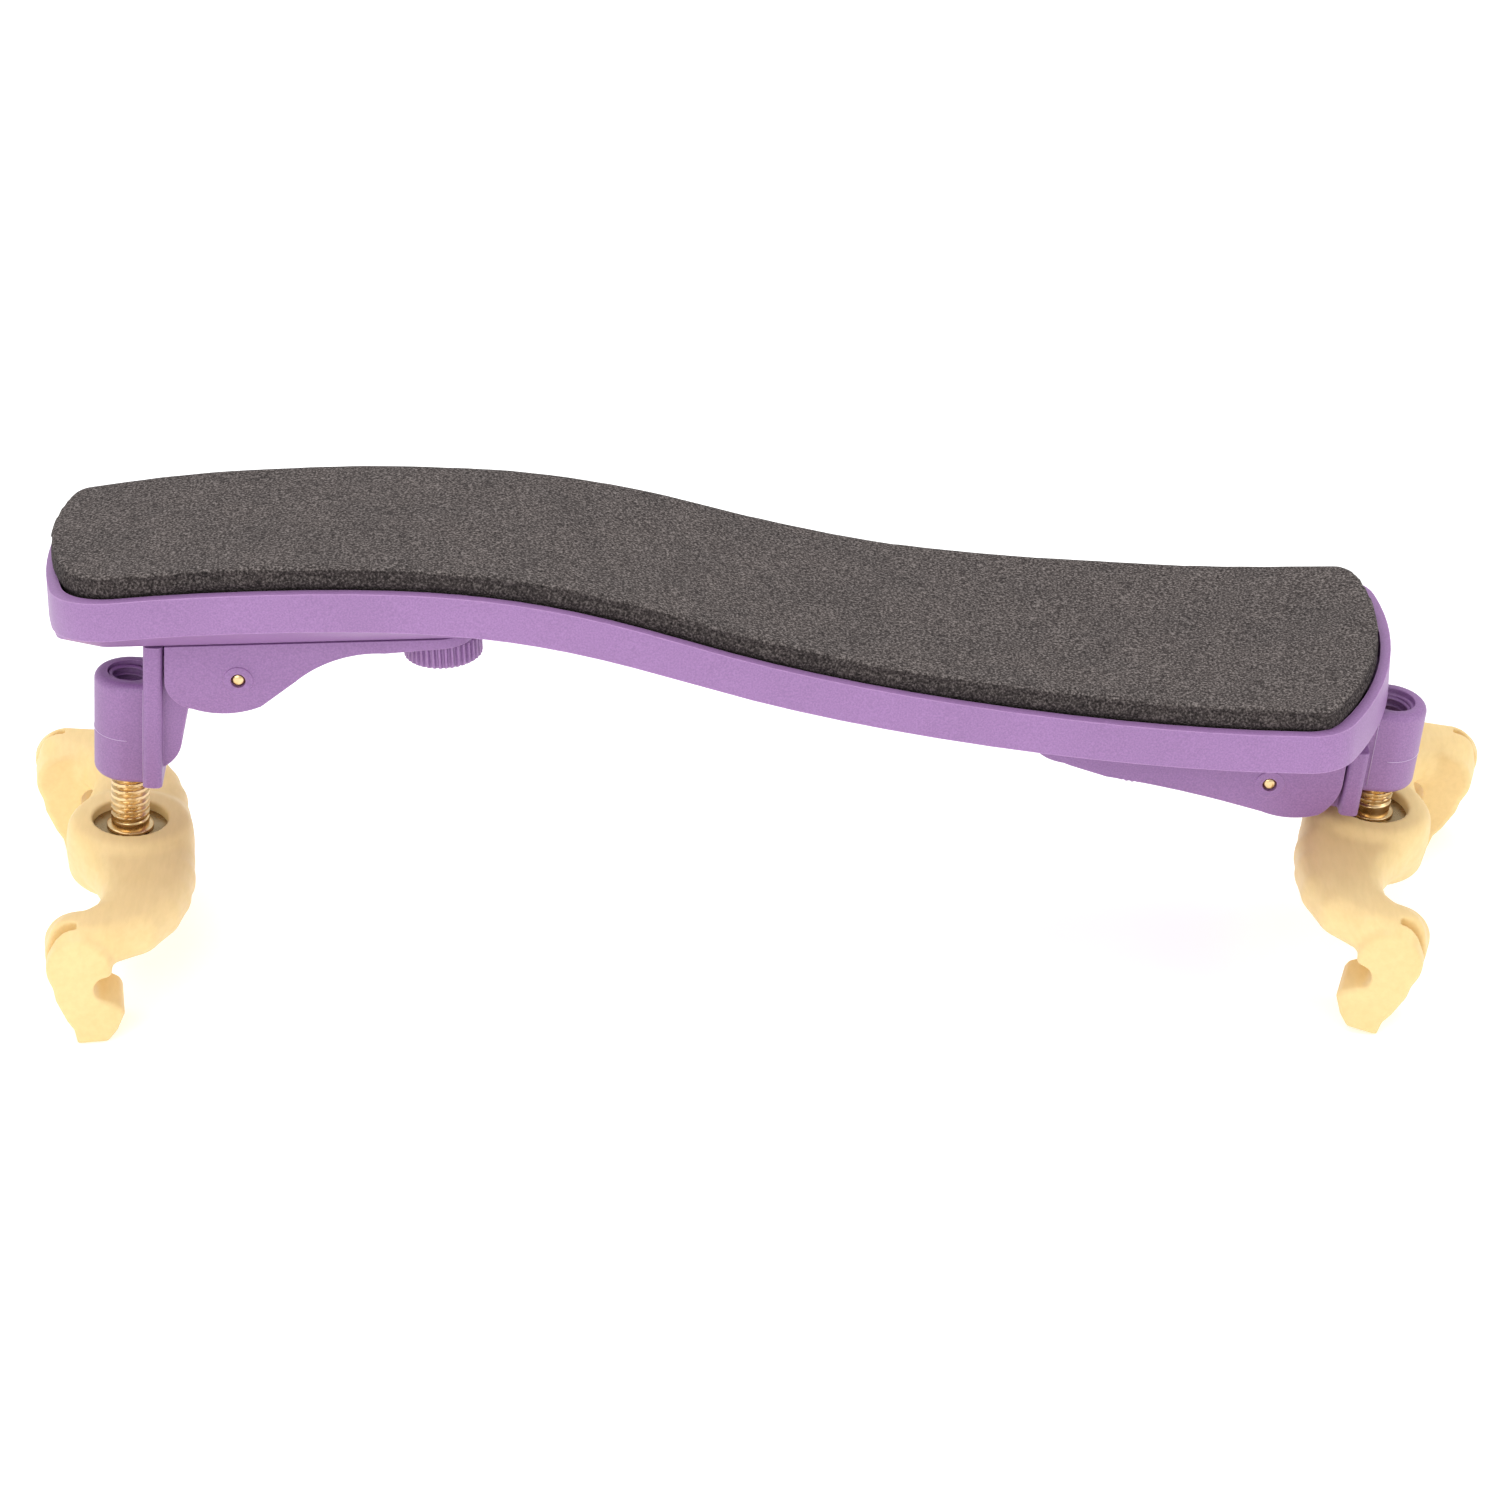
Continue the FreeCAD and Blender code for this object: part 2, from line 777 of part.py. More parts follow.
def make_pin(side):
    pin = doc.addObject("Part::Cylinder", f"{side}_pivot_pin")
    half = dim("bracket_half") + dim("pin_ring_t") / 2
    bind(pin, Radius=dim("pin_r"), Height=half * 2)
    lie = Placement(Vector(0, half.value, 0), Rotation(Vector(1, 0, 0), 90))
    return finish(pin, f"{side}_pivot_pin", slide_frame(side) * lie)


# ---------------------------------------------------------------- clamp screws

def wheel_top(side):
    return dim("bracket_top") - dim(f"web_{side}") - dim("washer_t") - dim("washer_gap") * 2


def stud_place(side):
    return slide_frame(side) * Placement(Vector(num(f"{side}_stud_x"), 0, 0), Rotation())


def make_thumb_wheel(side):
    """Thumb wheel with bevelled rims, moulded round the clamp stud."""
    r = dim("wheel_r")
    bevel = dim("wheel_edge")
    top = wheel_top(side)
    low = top - dim("wheel_t")
    stud = dim("stud_r")
    profile = (
        (stud, low),
        (r - bevel, low),
        (r, low + bevel),
        (r, top - bevel),
        (r - bevel, top),
        (stud, top),
    )
    return finish(revolve(f"{side}_thumb_wheel", profile), f"{side}_thumb_wheel", stud_place(side))


def make_thumb_stud(side):
    low = wheel_top(side) - dim("wheel_t") + dim("stud_recess")
    top = dim("land_z") + dim("stud_engaged")
    profile = ((0.0, low), (dim("stud_r"), low), (dim("stud_r"), top), (0.0, top))
    return finish(revolve(f"{side}_thumb_stud", profile), f"{side}_thumb_stud", stud_place(side))


def make_slot_washer(side):
    low = wheel_top(side) + dim("washer_gap")
    top = low + dim("washer_t")
    bore = dim("stud_r") + dim("stud_play")
    profile = ((bore, low), (dim("washer_r"), low), (dim("washer_r"), top), (bore, top))
    return finish(revolve(f"{side}_slot_washer", profile), f"{side}_slot_washer", stud_place(side))


# ---------------------------------------------------------------- posts

def is_shoulder(edge):
    """True for the edges round the tube's open end faces, but not where the tube meets the plate."""
    level = edge.BoundBox.ZLength < 1e-6
    return level and (edge.BoundBox.XLength > 1e-3)


def make_post(side):
    """Folding post: threaded tube, stop plate against the bracket's end, and a lug on the pin."""
    reach = dim(f"{side}_reach")
    low = dim(f"{side}_tube_low")
    height = dim(f"{side}_tube_top") - low
    web = -dim("plate_in") - dim("plate_overlap")
    tube_r = dim("tube_r")
    outline = (
        (web, -tube_r),
        (web, tube_r),
        (-reach, tube_r),
        ((-reach - tube_r, Size.of(0.0)),),
        (-reach, -tube_r),
    )
    plan = free_sketch(f"{side}_tube_plan", outline, PLAN)
    bind_height(plan, low)
    tube = extrude(f"{side}_tube_block", plan, Vector(0, 0, 1), height)
    tube = round_edges(f"{side}_tube", tube, num("tube_shoulder_r"), is_shoulder)

    plate_low = dim(f"{side}_plate_low")
    plate_high = dim(f"{side}_plate_top") - plate_low
    plate = box(f"{side}_plate", dim("plate_out") - dim("plate_in"), dim("plate_half") * 2, plate_high,
                -dim("plate_out"), -dim("plate_half"), plate_low)
    plate = round_edges(f"{side}_plate_rounded", plate, num("plate_corner_r"), is_upright)

    lug_r = dim("lug_r")
    lug = (
        (web, lug_r),
        (Size.of(0.0), lug_r),
        ((lug_r, Size.of(0.0)),),
        (Size.of(0.0), -lug_r),
        (-dim(f"{side}_gusset_x") + dim("gusset_run"), -lug_r),
        (-dim(f"{side}_gusset_x"), dim(f"{side}_gusset_knee")),
        ((-dim(f"{side}_gusset_x") - dim("gusset_belly"), dim(f"{side}_gusset_bend")),),
        (-dim("plate_in"), dim(f"{side}_gusset_low")),
        (web, dim(f"{side}_gusset_low")),
    )
    lug_view = free_sketch(f"{side}_lug_side", lug, SIDE)
    arm = extrude(f"{side}_lug", lug_view, Vector(0, 1, 0), dim("lug_half") * 2, True)

    bore = cylinder(f"{side}_bore", dim("bore_r"), height + CUT_OVER * 2, -reach, 0.0, low - CUT_OVER)
    mouth = cylinder(f"{side}_mouth", dim("mouth_r"), dim("mouth_depth") + CUT_OVER, -reach, 0.0,
                     dim(f"{side}_tube_top") - dim("mouth_depth"))
    eye = doc.addObject("Part::Cylinder", f"{side}_eye")
    bind(eye, Radius=dim("pin_r") + dim("pin_play"), Height=dim("plate_half") * 2)
    eye.Placement = Placement(Vector(0, num("plate_half"), 0), Rotation(Vector(1, 0, 0), 90))
    holes = fuse(f"{side}_post_holes", bore, mouth, eye)
    whole = fuse(f"{side}_post_body", tube, plate, arm)
    return finish(cut(f"{side}_post", whole, holes), f"{side}_post", post_frame(side))


# ---------------------------------------------------------------- fork feet

def half_arm_points(sign):
    """Plan outline of one arm from the hub's inboard side round its claw to the outboard side."""
    out = dim("claw_out_y")
    inner = dim("claw_in_y")
    back = -dim("claw_back")
    corner = dim("claw_corner")
    corner_in = dim("claw_corner_in")
    points = (
        (dim("hub_in_x"), dim("hub_in_y")),
        ((dim("arm_in_mid_x"), dim("arm_in_mid_y")),),
        (dim("arm_in_end_x"), dim("arm_in_end_y")),
        ((dim("elbow_x"), dim("elbow_y")),),
        (-dim("elbow_end_x"), out),
        (back + corner, out),
        ((back + corner * MID_ARC, out - corner * MID_ARC),),
        (back, out - corner),
        (back, inner + corner_in),
        ((back + corner_in * MID_ARC, inner + corner_in * MID_ARC),),
        (back + corner_in, inner),
        (-dim("arm_out_end_x"), inner),
        ((-dim("arm_out_bend_x"), dim("arm_out_bend_y")),),
        (-dim("arm_out_mid_x"), dim("arm_out_mid_y")),
        ((-dim("arm_out_low_x"), dim("arm_out_low_y")),),
        (-dim("hub_out_x"), dim("hub_out_y")),
    )
    return tuple(on_side(point, sign) for point in points)


def on_side(point, sign):
    """The same corner or arc point on the far side (1) or the near side (-1) of the hub."""
    if len(point) == 1:
        return (on_side(point[0], sign),)
    return (point[0], point[1] * sign)


def make_fork(side):
    """Fork foot: round hub, two arms and a C-shaped claw at the end of each."""
    far = half_arm_points(1)
    near = tuple(reversed(half_arm_points(-1)))
    arms_plan = free_sketch(f"{side}_arms_plan", far + near, Placement())
    bind_height(arms_plan, dim("arm_low"))
    arms = extrude(f"{side}_arms", arms_plan, Vector(0, 0, 1), dim("arm_top") - dim("arm_low"))

    hub = cylinder(f"{side}_hub", dim("hub_r"), dim("fork_rim") - dim("hub_low"), 0.0, 0.0, dim("hub_low"))
    hub = round_edges(f"{side}_hub_rounded", hub, num("hub_edge_r"), lambda edge: not is_upright(edge))

    claws = [make_claw(side, "near"), make_claw(side, "far")]
    seat = dim("recess_floor") - dim("bush_flange_t") - dim("bush_play")
    recess = cylinder(f"{side}_recess", dim("recess_r") + dim("bush_play"),
                      dim("fork_rim") - seat + CUT_OVER, 0.0, 0.0, seat)
    socket = cylinder(f"{side}_socket", dim("bush_r") + dim("bush_play"),
                      dim("recess_floor") - dim("socket_floor"), 0.0, 0.0, dim("socket_floor"))
    whole = fuse(f"{side}_fork_body", arms, hub, *claws)
    hollow = fuse(f"{side}_fork_hollow", recess, socket)
    return finish(cut(f"{side}_fork", whole, hollow), f"{side}_fork", fork_frame(side))


def bind_height(sketch, z):
    sketch.setExpression("Placement.Base.z", Size.of(z).text)


def make_claw(side, end):
    """One C-shaped claw: sole, lower jaw, mouth open inboard, and the bulge round its back."""
    rise = math.tan(math.radians(num("sole_slope"))) * (num("sole_back") - num("sole_front"))
    back = -dim("claw_back")
    mouth = -dim("mouth_end")
    bow = (dim("mouth_low") + dim("mouth_top")) / 2
    profile = (
        (-dim("sole_back"), Size.of(0.0)),
        (-dim("sole_front"), Size.of(rise)),
        (-dim("sole_front") + dim("sole_edge_x"), dim("sole_edge_z") + rise),
        (-dim("jaw_tip_x"), dim("jaw_tip_z")),
        (mouth, dim("mouth_low")),
        ((mouth - dim("mouth_bow"), bow),),
        (mouth, dim("mouth_top")),
        (-dim("claw_top_x"), dim("mouth_top") + dim("mouth_rise")),
        (-dim("claw_top_x"), dim("arm_top") - dim("claw_front_drop")),
        (-dim("claw_crown_x"), dim("arm_top") - dim("claw_crown_drop")),
        ((back + dim("claw_brow_x"), dim("claw_brow_z")),),
        (back, dim("claw_bulge_z")),
        ((back + dim("claw_shin_x"), dim("claw_shin_z")),),
        (-dim("sole_back") - dim("sole_edge_x"), dim("claw_heel_z")),
    )
    sketch = free_sketch(f"{side}_{end}_claw_side", profile, SIDE)
    width = dim("claw_out_y") - dim("claw_in_y")
    start = dim("claw_in_y") if end == "far" else -dim("claw_out_y")
    sketch.setExpression("Placement.Base.y", start.text)
    claw = extrude(f"{side}_{end}_claw", sketch, Vector(0, 1, 0), width)
    return claw


def make_fork_stem(side):
    """Brass screw with a collar just above the fork's bush."""
    r = dim("screw_r")
    foot = dim("socket_floor")
    collar = dim("recess_floor") + dim("collar_gap")
    profile = (
        (0.0, foot),
        (r, foot),
        (r, collar),
        (dim("collar_r"), collar),
        (dim("collar_r"), collar + dim("collar_t")),
        (r, collar + dim("collar_t")),
        (r, dim("screw_top")),
        (0.0, dim("screw_top")),
    )
    return finish(revolve(f"{side}_fork_stem", profile), f"{side}_fork_stem", fork_frame(side))


def make_fork_insert(side):
    """Flanged brass bush moulded into the hub, round the foot of the screw."""
    bore = dim("screw_r") + dim("bush_play")
    floor = dim("recess_floor")
    step = floor - dim("bush_flange_t")
    profile = (
        (bore, dim("bush_low")),
        (dim("bush_r"), dim("bush_low")),
        (dim("bush_r"), step),
        (dim("recess_r"), step),
        (dim("recess_r"), floor),
        (bore, floor),
    )
    return finish(revolve(f"{side}_fork_insert", profile), f"{side}_fork_insert", fork_frame(side))


# ---------------------------------------------------------------- the whole rest

def make_parts():
    parts = [make_tray(), make_pad(), make_film()]
    for side in ("left", "right"):
        parts.append(make_base_insert(side))
        parts.append(make_bracket(side))
        parts.append(make_pin(side))
        parts.append(make_slot_washer(side))
        parts.append(make_thumb_wheel(side))
        parts.append(make_thumb_stud(side))
        parts.append(make_post(side))
        parts.append(make_fork_stem(side))
        parts.append(make_fork(side))
        parts.append(make_fork_insert(side))
    return parts


def check(parts):
    """Stops with a plain message if any object failed or any sub-part is not one valid solid."""
    doc.recompute()
    for obj in doc.Objects:
        if "Invalid" in obj.State or "Error" in obj.State:
            raise RuntimeError(f"{obj.Name} failed: {obj.State}")
    for part in parts:
        shape = part.Shape
        if shape.isNull() or not shape.isValid() or not shape.Solids:
            raise RuntimeError(f"{part.Label} has no valid solid")


fill_sheet()
all_parts = make_parts()
check(all_parts)
os.makedirs(OUT_DIR, exist_ok=True)
for part in all_parts:
    part.Shape.exportStep(os.path.join(OUT_DIR, f"{part.Label}.step"))
whole_box = FreeCAD.BoundBox()
for part in all_parts:
    whole_box.add(part.Shape.BoundBox)
    print(f"{part.Label:22s} {len(part.Shape.Solids)} solid {part.Shape.Volume:10.1f} mm3")
print("whole:", whole_box)
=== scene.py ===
"""Looks of the violin shoulder rest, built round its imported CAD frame.

Shapes are worked out in millimetres and turned into metres where each mesh is made.
Each fork is shaped in its own frame: origin on its screw's axis at the level of the soles,
x pointing inboard, y along the arms and z up the screw. The record gives that frame.
"""
import json
import math

import bmesh
import bpy
import numpy as np
from mathutils import Matrix, Vector
from mathutils.bvhtree import BVHTree


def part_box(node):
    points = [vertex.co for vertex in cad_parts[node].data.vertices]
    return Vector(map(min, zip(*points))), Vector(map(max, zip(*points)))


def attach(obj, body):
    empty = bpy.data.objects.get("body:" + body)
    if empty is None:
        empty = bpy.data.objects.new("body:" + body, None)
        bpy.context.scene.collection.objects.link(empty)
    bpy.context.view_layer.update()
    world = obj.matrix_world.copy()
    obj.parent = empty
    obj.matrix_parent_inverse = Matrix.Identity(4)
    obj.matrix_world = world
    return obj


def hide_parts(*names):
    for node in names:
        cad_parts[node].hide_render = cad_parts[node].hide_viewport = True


MM = 0.001
SIDES = ("left", "right")

# ---------------------------------------------------------------- named sizes, millimetres

# Edges of the moulded plastic: how far each is rounded off, and what counts as an edge, degrees
TRAY_EDGE = 0.6
BRACKET_EDGE = 0.3
POST_EDGE = 0.4
EDGE_SEGMENTS = 3
SAME_POINT = 0.004
FLAT_ANGLE = 1.0
EDGE_ANGLE = 32.0
PLASTIC_CREASE = 40.0
BRASS_CREASE = 50.0
WHEEL_CREASE = 35.0

# Foam pad: sampling step, rounded edge, crease and tuck of the cut side, unevenness of the face
PAD_STEP = 0.55
PAD_EDGE = 0.55
PAD_CREASE = 0.5
PAD_CREASE_DEPTH = 1.25
PAD_CREASE_RUN = 0.5
PAD_TUCK = 0.9
PAD_TUCK_DEPTH = 3.2
PAD_TUCK_RUN = 1.2
PAD_RAGGED = 0.05
PAD_WAVE = 0.14
PAD_MARGIN = 2.0
PAD_MARGIN_UP = 1.5

# Waves across the pad's plan: (radians for each millimetre of x, of y, radians at the origin)
RAGGED_WAVES = ((0.52, 0.3, 0.0), (0.233, 0.41, 2.0))
FACE_WAVES = ((0.095, 0.0, 0.0), (0.0, 0.14, 1.3))

# How the CAD pad is measured with rays
PROBE_GAP = 20.0
PROBE_OUT = 80.0
PROBE_Y = 14.0
PROBE_DEPTH = 3.0
PROBE_SHARES = (0.2, 0.8)
STATIONS = 60
STATION_FIRST = 6.0
STATION_LAST = 13.0

# Fork: hub, recess and socket round its screw, arms and claws
FORK_STEP = 0.34
FORK_LOW = (-17.0, -38.4, -1.2)
FORK_HIGH = (12.0, 38.4, 22.6)
HUB_R = 10.2
HUB_LOW = 10.8
HUB_TOP = 21.3
HUB_ROUND = 1.7
HUB_FILLET = 2.6
RECESS_R = 6.26
RECESS_LOW = 18.84
SOCKET_R = 4.66
SOCKET_LOW = 11.6
ARM_LOW = 12.9
ARM_TOP = 20.4
ARM_ROUND = 3.3
CLAW_Y = 31.65
CLAW_HALF = 5.5
CLAW_ROUND = 1.0
CLAW_FILLET = 1.1
BULGE_FILLET = 0.5
MOUTH_EDGE = 0.35
MOUTH_MARGIN = 2.0
GROOVE_Y = 33.2
GROOVE_HALF = 0.5
GROOVE_R = 0.4
GROOVE_EDGE = 0.3

# Fork's screw, whose thread starts above a plain shank and ends in a chamfer
SCREW_R = 3.175
SCREW_PITCH = 1.27
SCREW_DEPTH = 0.5
SCREW_FOOT = 11.6
SCREW_TOP = 37.1
SCREW_PLAIN = 1.1
SCREW_PLAIN_R = 3.155
SCREW_CHAMFER = 0.7
SCREW_RINGS = 14
GROOVE_NARROWING = 1.9
GROOVE_SHARPNESS = 0.7
COLLAR_LOW = 19.98
COLLAR_TOP = 20.48
COLLAR_R = 3.9
COLLAR_CHAMFER = 0.1
THREAD_SIDES = 56
CHAMFER_SLOPE = 0.8
SHARP_STEP = 0.001

# Clamp stud
STUD_PITCH = 0.8
STUD_DEPTH = 0.3
STUD_R = 2.0
STUD_CHAMFER = 0.4
STUD_RINGS = 10
SMALL_SIDES = 32

# Thumb wheel. Its edge: (height from the face, distance in from the rim, share of the ribs'
# height). Its dish: (radius, depth)
WHEEL_RIBS = 38
RIB_SIDES = 8
RIB_HEIGHT = 0.55
RIB_START = 0.15
RIB_FLANK = 3.0
WHEEL_EDGE = ((0.0, 0.62, 0.5), (0.15, 0.25, 0.5), (0.5, 0.0, 1.0))
WHEEL_DISH = ((5.0, 0.0), (4.6, 0.5), (2.4, 0.5))

# Pivot pin's ends: (distance from the end, radius)
PIN_R = 1.2
PIN_NECK_R = 0.9
PIN_HEAD = ((0.0, 0.35), (0.04, 0.65), (0.22, PIN_NECK_R), (0.6, PIN_NECK_R), (0.8, PIN_R))

# Post's tube: the thread's ridge inside it, and the flash that the mould leaves on it
TUBE_R = 5.9
TUBE_SLACK = 0.05
TUBE_RUN = 2.6
RIDGE_OUT = 3.45
RIDGE_IN = 2.86
RIDGE_FOOT_HALF = 0.416
RIDGE_CREST_HALF = 0.104
RIDGE_TURNS = 3
RIDGE_DEPTH = 1.4
FLASH = 0.13
FLASH_ROOT = 0.2
FLASH_CREST = 0.7
FLASH_STEPS = 40
FLASH_STOP = 1.6
PARTING_SHARE = 0.42

# ---------------------------------------------------------------- colours

PURPLE = (0.290, 0.152, 0.346)
LEG_SHADE = 0.94
FLASH_PURPLE = (0.62, 0.47, 0.68)
CHARCOAL = (0.055, 0.046, 0.044)
TAN = (0.82, 0.60, 0.27)
BRASS = (0.83, 0.57, 0.24)
# Share of the brass colour left on the fork's bush: painted shade and dark reflection in the hub's recess.
BUSH_SHADE = 0.45
WHITE = (1.0, 1.0, 1.0)


# ---------------------------------------------------------------- materials

def new_material(name, colour, roughness, metallic=0.0):
    """A material with a Principled shader; returns it with its node tree and shader."""
    material = bpy.data.materials.new(name)
    material.use_nodes = True
    tree = material.node_tree
    shader = tree.nodes["Principled BSDF"]
    shader.inputs["Base Color"].default_value = (*colour, 1.0)
    shader.inputs["Roughness"].default_value = roughness
    shader.inputs["Metallic"].default_value = metallic
    return material, tree, shader


def place_coordinates(tree):
    """Object coordinates: the row frame in metres at rest, and they ride with the piece."""
    return tree.nodes.new("ShaderNodeTexCoord").outputs["Object"]


def noise(tree, where, scale, detail=2.0, roughness=0.5):
    node = tree.nodes.new("ShaderNodeTexNoise")
    node.inputs["Scale"].default_value = scale
    node.inputs["Detail"].default_value = detail
    node.inputs["Roughness"].default_value = roughness
    tree.links.new(where, node.inputs["Vector"])
    return node.outputs["Fac"]


def cells(tree, where, scale):
    node = tree.nodes.new("ShaderNodeTexVoronoi")
    node.inputs["Scale"].default_value = scale
    tree.links.new(where, node.inputs["Vector"])
    return node.outputs["Distance"]


def ramp(tree, factor, stops):
    """A colour ramp; stops are (position, colour) pairs."""
    node = tree.nodes.new("ShaderNodeValToRGB")
    elements = node.color_ramp.elements
    while len(elements) < len(stops):
        elements.new(0.5)
    for element, (position, colour) in zip(elements, stops):
        element.position = position
        element.color = (*colour, 1.0)
    tree.links.new(factor, node.inputs["Fac"])
    return node.outputs["Color"]


def map_range(tree, value, before=(0.0, 1.0), after=(0.0, 1.0)):
    """A number that goes over the range after as value goes over the range before."""
    node = tree.nodes.new("ShaderNodeMapRange")
    for name, limit in zip(("From Min", "From Max", "To Min", "To Max"), (*before, *after)):
        node.inputs[name].default_value = limit
    tree.links.new(value, node.inputs["Value"])
    return node.outputs["Result"]


def stretched(tree, where, scale):
    """The same place with each axis scaled, for flow lines and lathe marks."""
    node = tree.nodes.new("ShaderNodeMapping")
    node.inputs["Scale"].default_value = scale
    tree.links.new(where, node.inputs["Vector"])
    return node.outputs["Vector"]


def mix_colour(tree, factor, first, second, mode="MIX"):
    """Mixes two colours; each is a socket or a plain colour, and factor a socket or a number."""
    node = tree.nodes.new("ShaderNodeMix")
    node.data_type = "RGBA"
    node.blend_type = mode
    for socket, value in (("Factor", factor), ("A", first), ("B", second)):
        wanted = next(item for item in node.inputs if item.name == socket and item.enabled)
        if isinstance(value, bpy.types.NodeSocket):
            tree.links.new(value, wanted)
        else:
            wanted.default_value = value if socket == "Factor" else (*value, 1.0)
    return next(item for item in node.outputs if item.enabled)


def multiply(tree, first, second):
    node = tree.nodes.new("ShaderNodeMath")
    node.operation = "MULTIPLY"
    tree.links.new(first, node.inputs[0])
    tree.links.new(second, node.inputs[1])
    return node.outputs["Value"]


def bump(tree, shader, height, strength, distance, under=None):
    node = tree.nodes.new("ShaderNodeBump")
    node.inputs["Strength"].default_value = strength
    node.inputs["Distance"].default_value = distance
    tree.links.new(height, node.inputs["Height"])
    if under is not None:
        tree.links.new(under, node.inputs["Normal"])
    tree.links.new(node.outputs["Normal"], shader.inputs["Normal"])
    return node.outputs["Normal"]


def edge_mask(tree, radius):
    """1 on sharp edges and 0 on flats: how far a rounded normal leans from the true one."""
    rounded = tree.nodes.new("ShaderNodeBevel")
    rounded.samples = 8
    rounded.inputs["Radius"].default_value = radius
    plain = tree.nodes.new("ShaderNodeNewGeometry")
    dot = tree.nodes.new("ShaderNodeVectorMath")
    dot.operation = "DOT_PRODUCT"
    tree.links.new(rounded.outputs["Normal"], dot.inputs[0])
    tree.links.new(plain.outputs["Normal"], dot.inputs[1])
    return map_range(tree, dot.outputs["Value"], (0.995, 0.80))


def tinted(colour, share):
    return tuple(c * share for c in colour)


def clouded_material(name, colour, roughness, tones, cloud_scale, grain):
    """Soft clouds between two tones; grain is (scale, strength, depth in millimetres)."""
    material, tree, shader = new_material(name, colour, roughness)
    where = place_coordinates(tree)
    cloud = noise(tree, where, cloud_scale, 3.0)
    dark, light = tones
    tree.links.new(ramp(tree, cloud, ((0.3, dark), (0.7, light))), shader.inputs["Base Color"])
    scale, strength, depth = grain
    bump(tree, shader, noise(tree, where, scale), strength, depth * MM)
    return material


def purple_plastic(name, shade=1.0):
    """Satin injection-moulded plastic: fine spark-eroded grain, slight clouding, and a pale painted highlight
    along its edges.
    """
    base = tinted(PURPLE, shade)
    material, tree, shader = new_material(name, base, 0.46)
    where = place_coordinates(tree)
    cloud = noise(tree, where, 40.0, 3.0)
    clouded = ramp(tree, cloud, ((0.3, tinted(base, 0.95)), (0.7, tinted(base, 1.05))))
    fine = noise(tree, where, 3400.0, 3.0, 0.65)
    grain = ramp(tree, fine, ((0.34, (0.86, 0.85, 0.87)), (0.5, WHITE), (0.68, (1.16, 1.18, 1.15))))
    grained = mix_colour(tree, 1.0, clouded, grain, "MULTIPLY")
    # Painted highlight: a paler purple is mixed onto the edges that the edge mask finds, broken up by noise.
    edge = edge_mask(tree, 0.38 * MM)
    highlight_breakup = map_range(tree, noise(tree, where, 700.0, 2.0), after=(0.1, 1.1))
    edge_highlight = multiply(tree, edge, highlight_breakup)
    pale = tuple(c * 1.35 + extra for c, extra in zip(base, (0.20, 0.15, 0.17)))
    tree.links.new(mix_colour(tree, edge_highlight, grained, pale), shader.inputs["Base Color"])
    tree.links.new(map_range(tree, fine, after=(0.38, 0.56)), shader.inputs["Roughness"])
    bump(tree, shader, fine, 0.4, 0.07 * MM)
    shader.inputs["Specular IOR Level"].default_value = 0.5
    shader.inputs["Subsurface Weight"].default_value = 0.04
    shader.inputs["Subsurface Radius"].default_value = (0.002, 0.001, 0.002)
    return material


def foam_material():
    """Charcoal foam: fine pale and dark grains, open pits with painted shade in them, and painted shade on the cut
    sides.
    """
    material, tree, shader = new_material("charcoal_foam", CHARCOAL, 0.97)
    where = place_coordinates(tree)
    grain = noise(tree, where, 2600.0, 3.0, 0.7)
    tones = ((0.34, (0.018, 0.015, 0.015)), (0.5, (0.072, 0.061, 0.059)), (0.66, (0.225, 0.198, 0.190)))
    speckle = ramp(tree, grain, tones)
    pits = cells(tree, where, 1500.0)
    # Painted shade: the middle of each pit is darkened to about 0.55.
    pit_shade = ramp(tree, pits, ((0.12, (0.55, 0.55, 0.55)), (0.35, (1.05, 1.05, 1.05))))
    pitted = mix_colour(tree, 1.0, speckle, pit_shade, "MULTIPLY")
    mottle = noise(tree, where, 120.0, 3.0)
    shade = ramp(tree, mottle, ((0.35, (0.94, 0.94, 0.94)), (0.65, (1.06, 1.05, 1.04))))
    colour = mix_colour(tree, 1.0, pitted, shade, "MULTIPLY")
    # Painted shade: faces that lean away from up are darkened to 0.58 of the colour of the top.
    facing = tree.nodes.new("ShaderNodeNewGeometry")
    parts = tree.nodes.new("ShaderNodeSeparateXYZ")
    tree.links.new(facing.outputs["True Normal"], parts.inputs["Vector"])
    up = map_range(tree, parts.outputs["Z"], (0.35, 0.8))
    dark = mix_colour(tree, 1.0, colour, (0.58, 0.57, 0.57), "MULTIPLY")
    tree.links.new(mix_colour(tree, up, dark, colour), shader.inputs["Base Color"])
    deep = bump(tree, shader, pits, 0.6, 0.25 * MM)
    bump(tree, shader, grain, 0.6, 0.16 * MM, under=deep)
    shader.inputs["Specular IOR Level"].default_value = 0.15
    return material


def tan_rubber():
    """Tan rubber: faint flow lines, a fine skin texture and a little light under the surface."""
    material, tree, shader = new_material("tan_rubber", TAN, 0.5)
    where = place_coordinates(tree)
    cloud = noise(tree, where, 70.0, 2.0, 0.5)
    colour = ramp(tree, cloud, ((0.3, (0.79, 0.575, 0.255)), (0.7, (0.835, 0.625, 0.295))))
    flow = noise(tree, stretched(tree, where, (1.0, 0.2, 1.0)), 900.0, 3.0, 0.6)
    faint = ramp(tree, flow, ((0.35, (0.965, 0.96, 0.945)), (0.65, (1.02, 1.02, 1.03))))
    tree.links.new(mix_colour(tree, 1.0, colour, faint, "MULTIPLY"), shader.inputs["Base Color"])
    fine = noise(tree, where, 2400.0, 3.0, 0.6)
    tree.links.new(map_range(tree, fine, after=(0.42, 0.58)), shader.inputs["Roughness"])
    bump(tree, shader, fine, 0.2, 0.05 * MM)
    shader.inputs["Subsurface Weight"].default_value = 0.10
    shader.inputs["Subsurface Radius"].default_value = (0.002, 0.0012, 0.0006)
    shader.inputs["Specular IOR Level"].default_value = 0.45
    return material


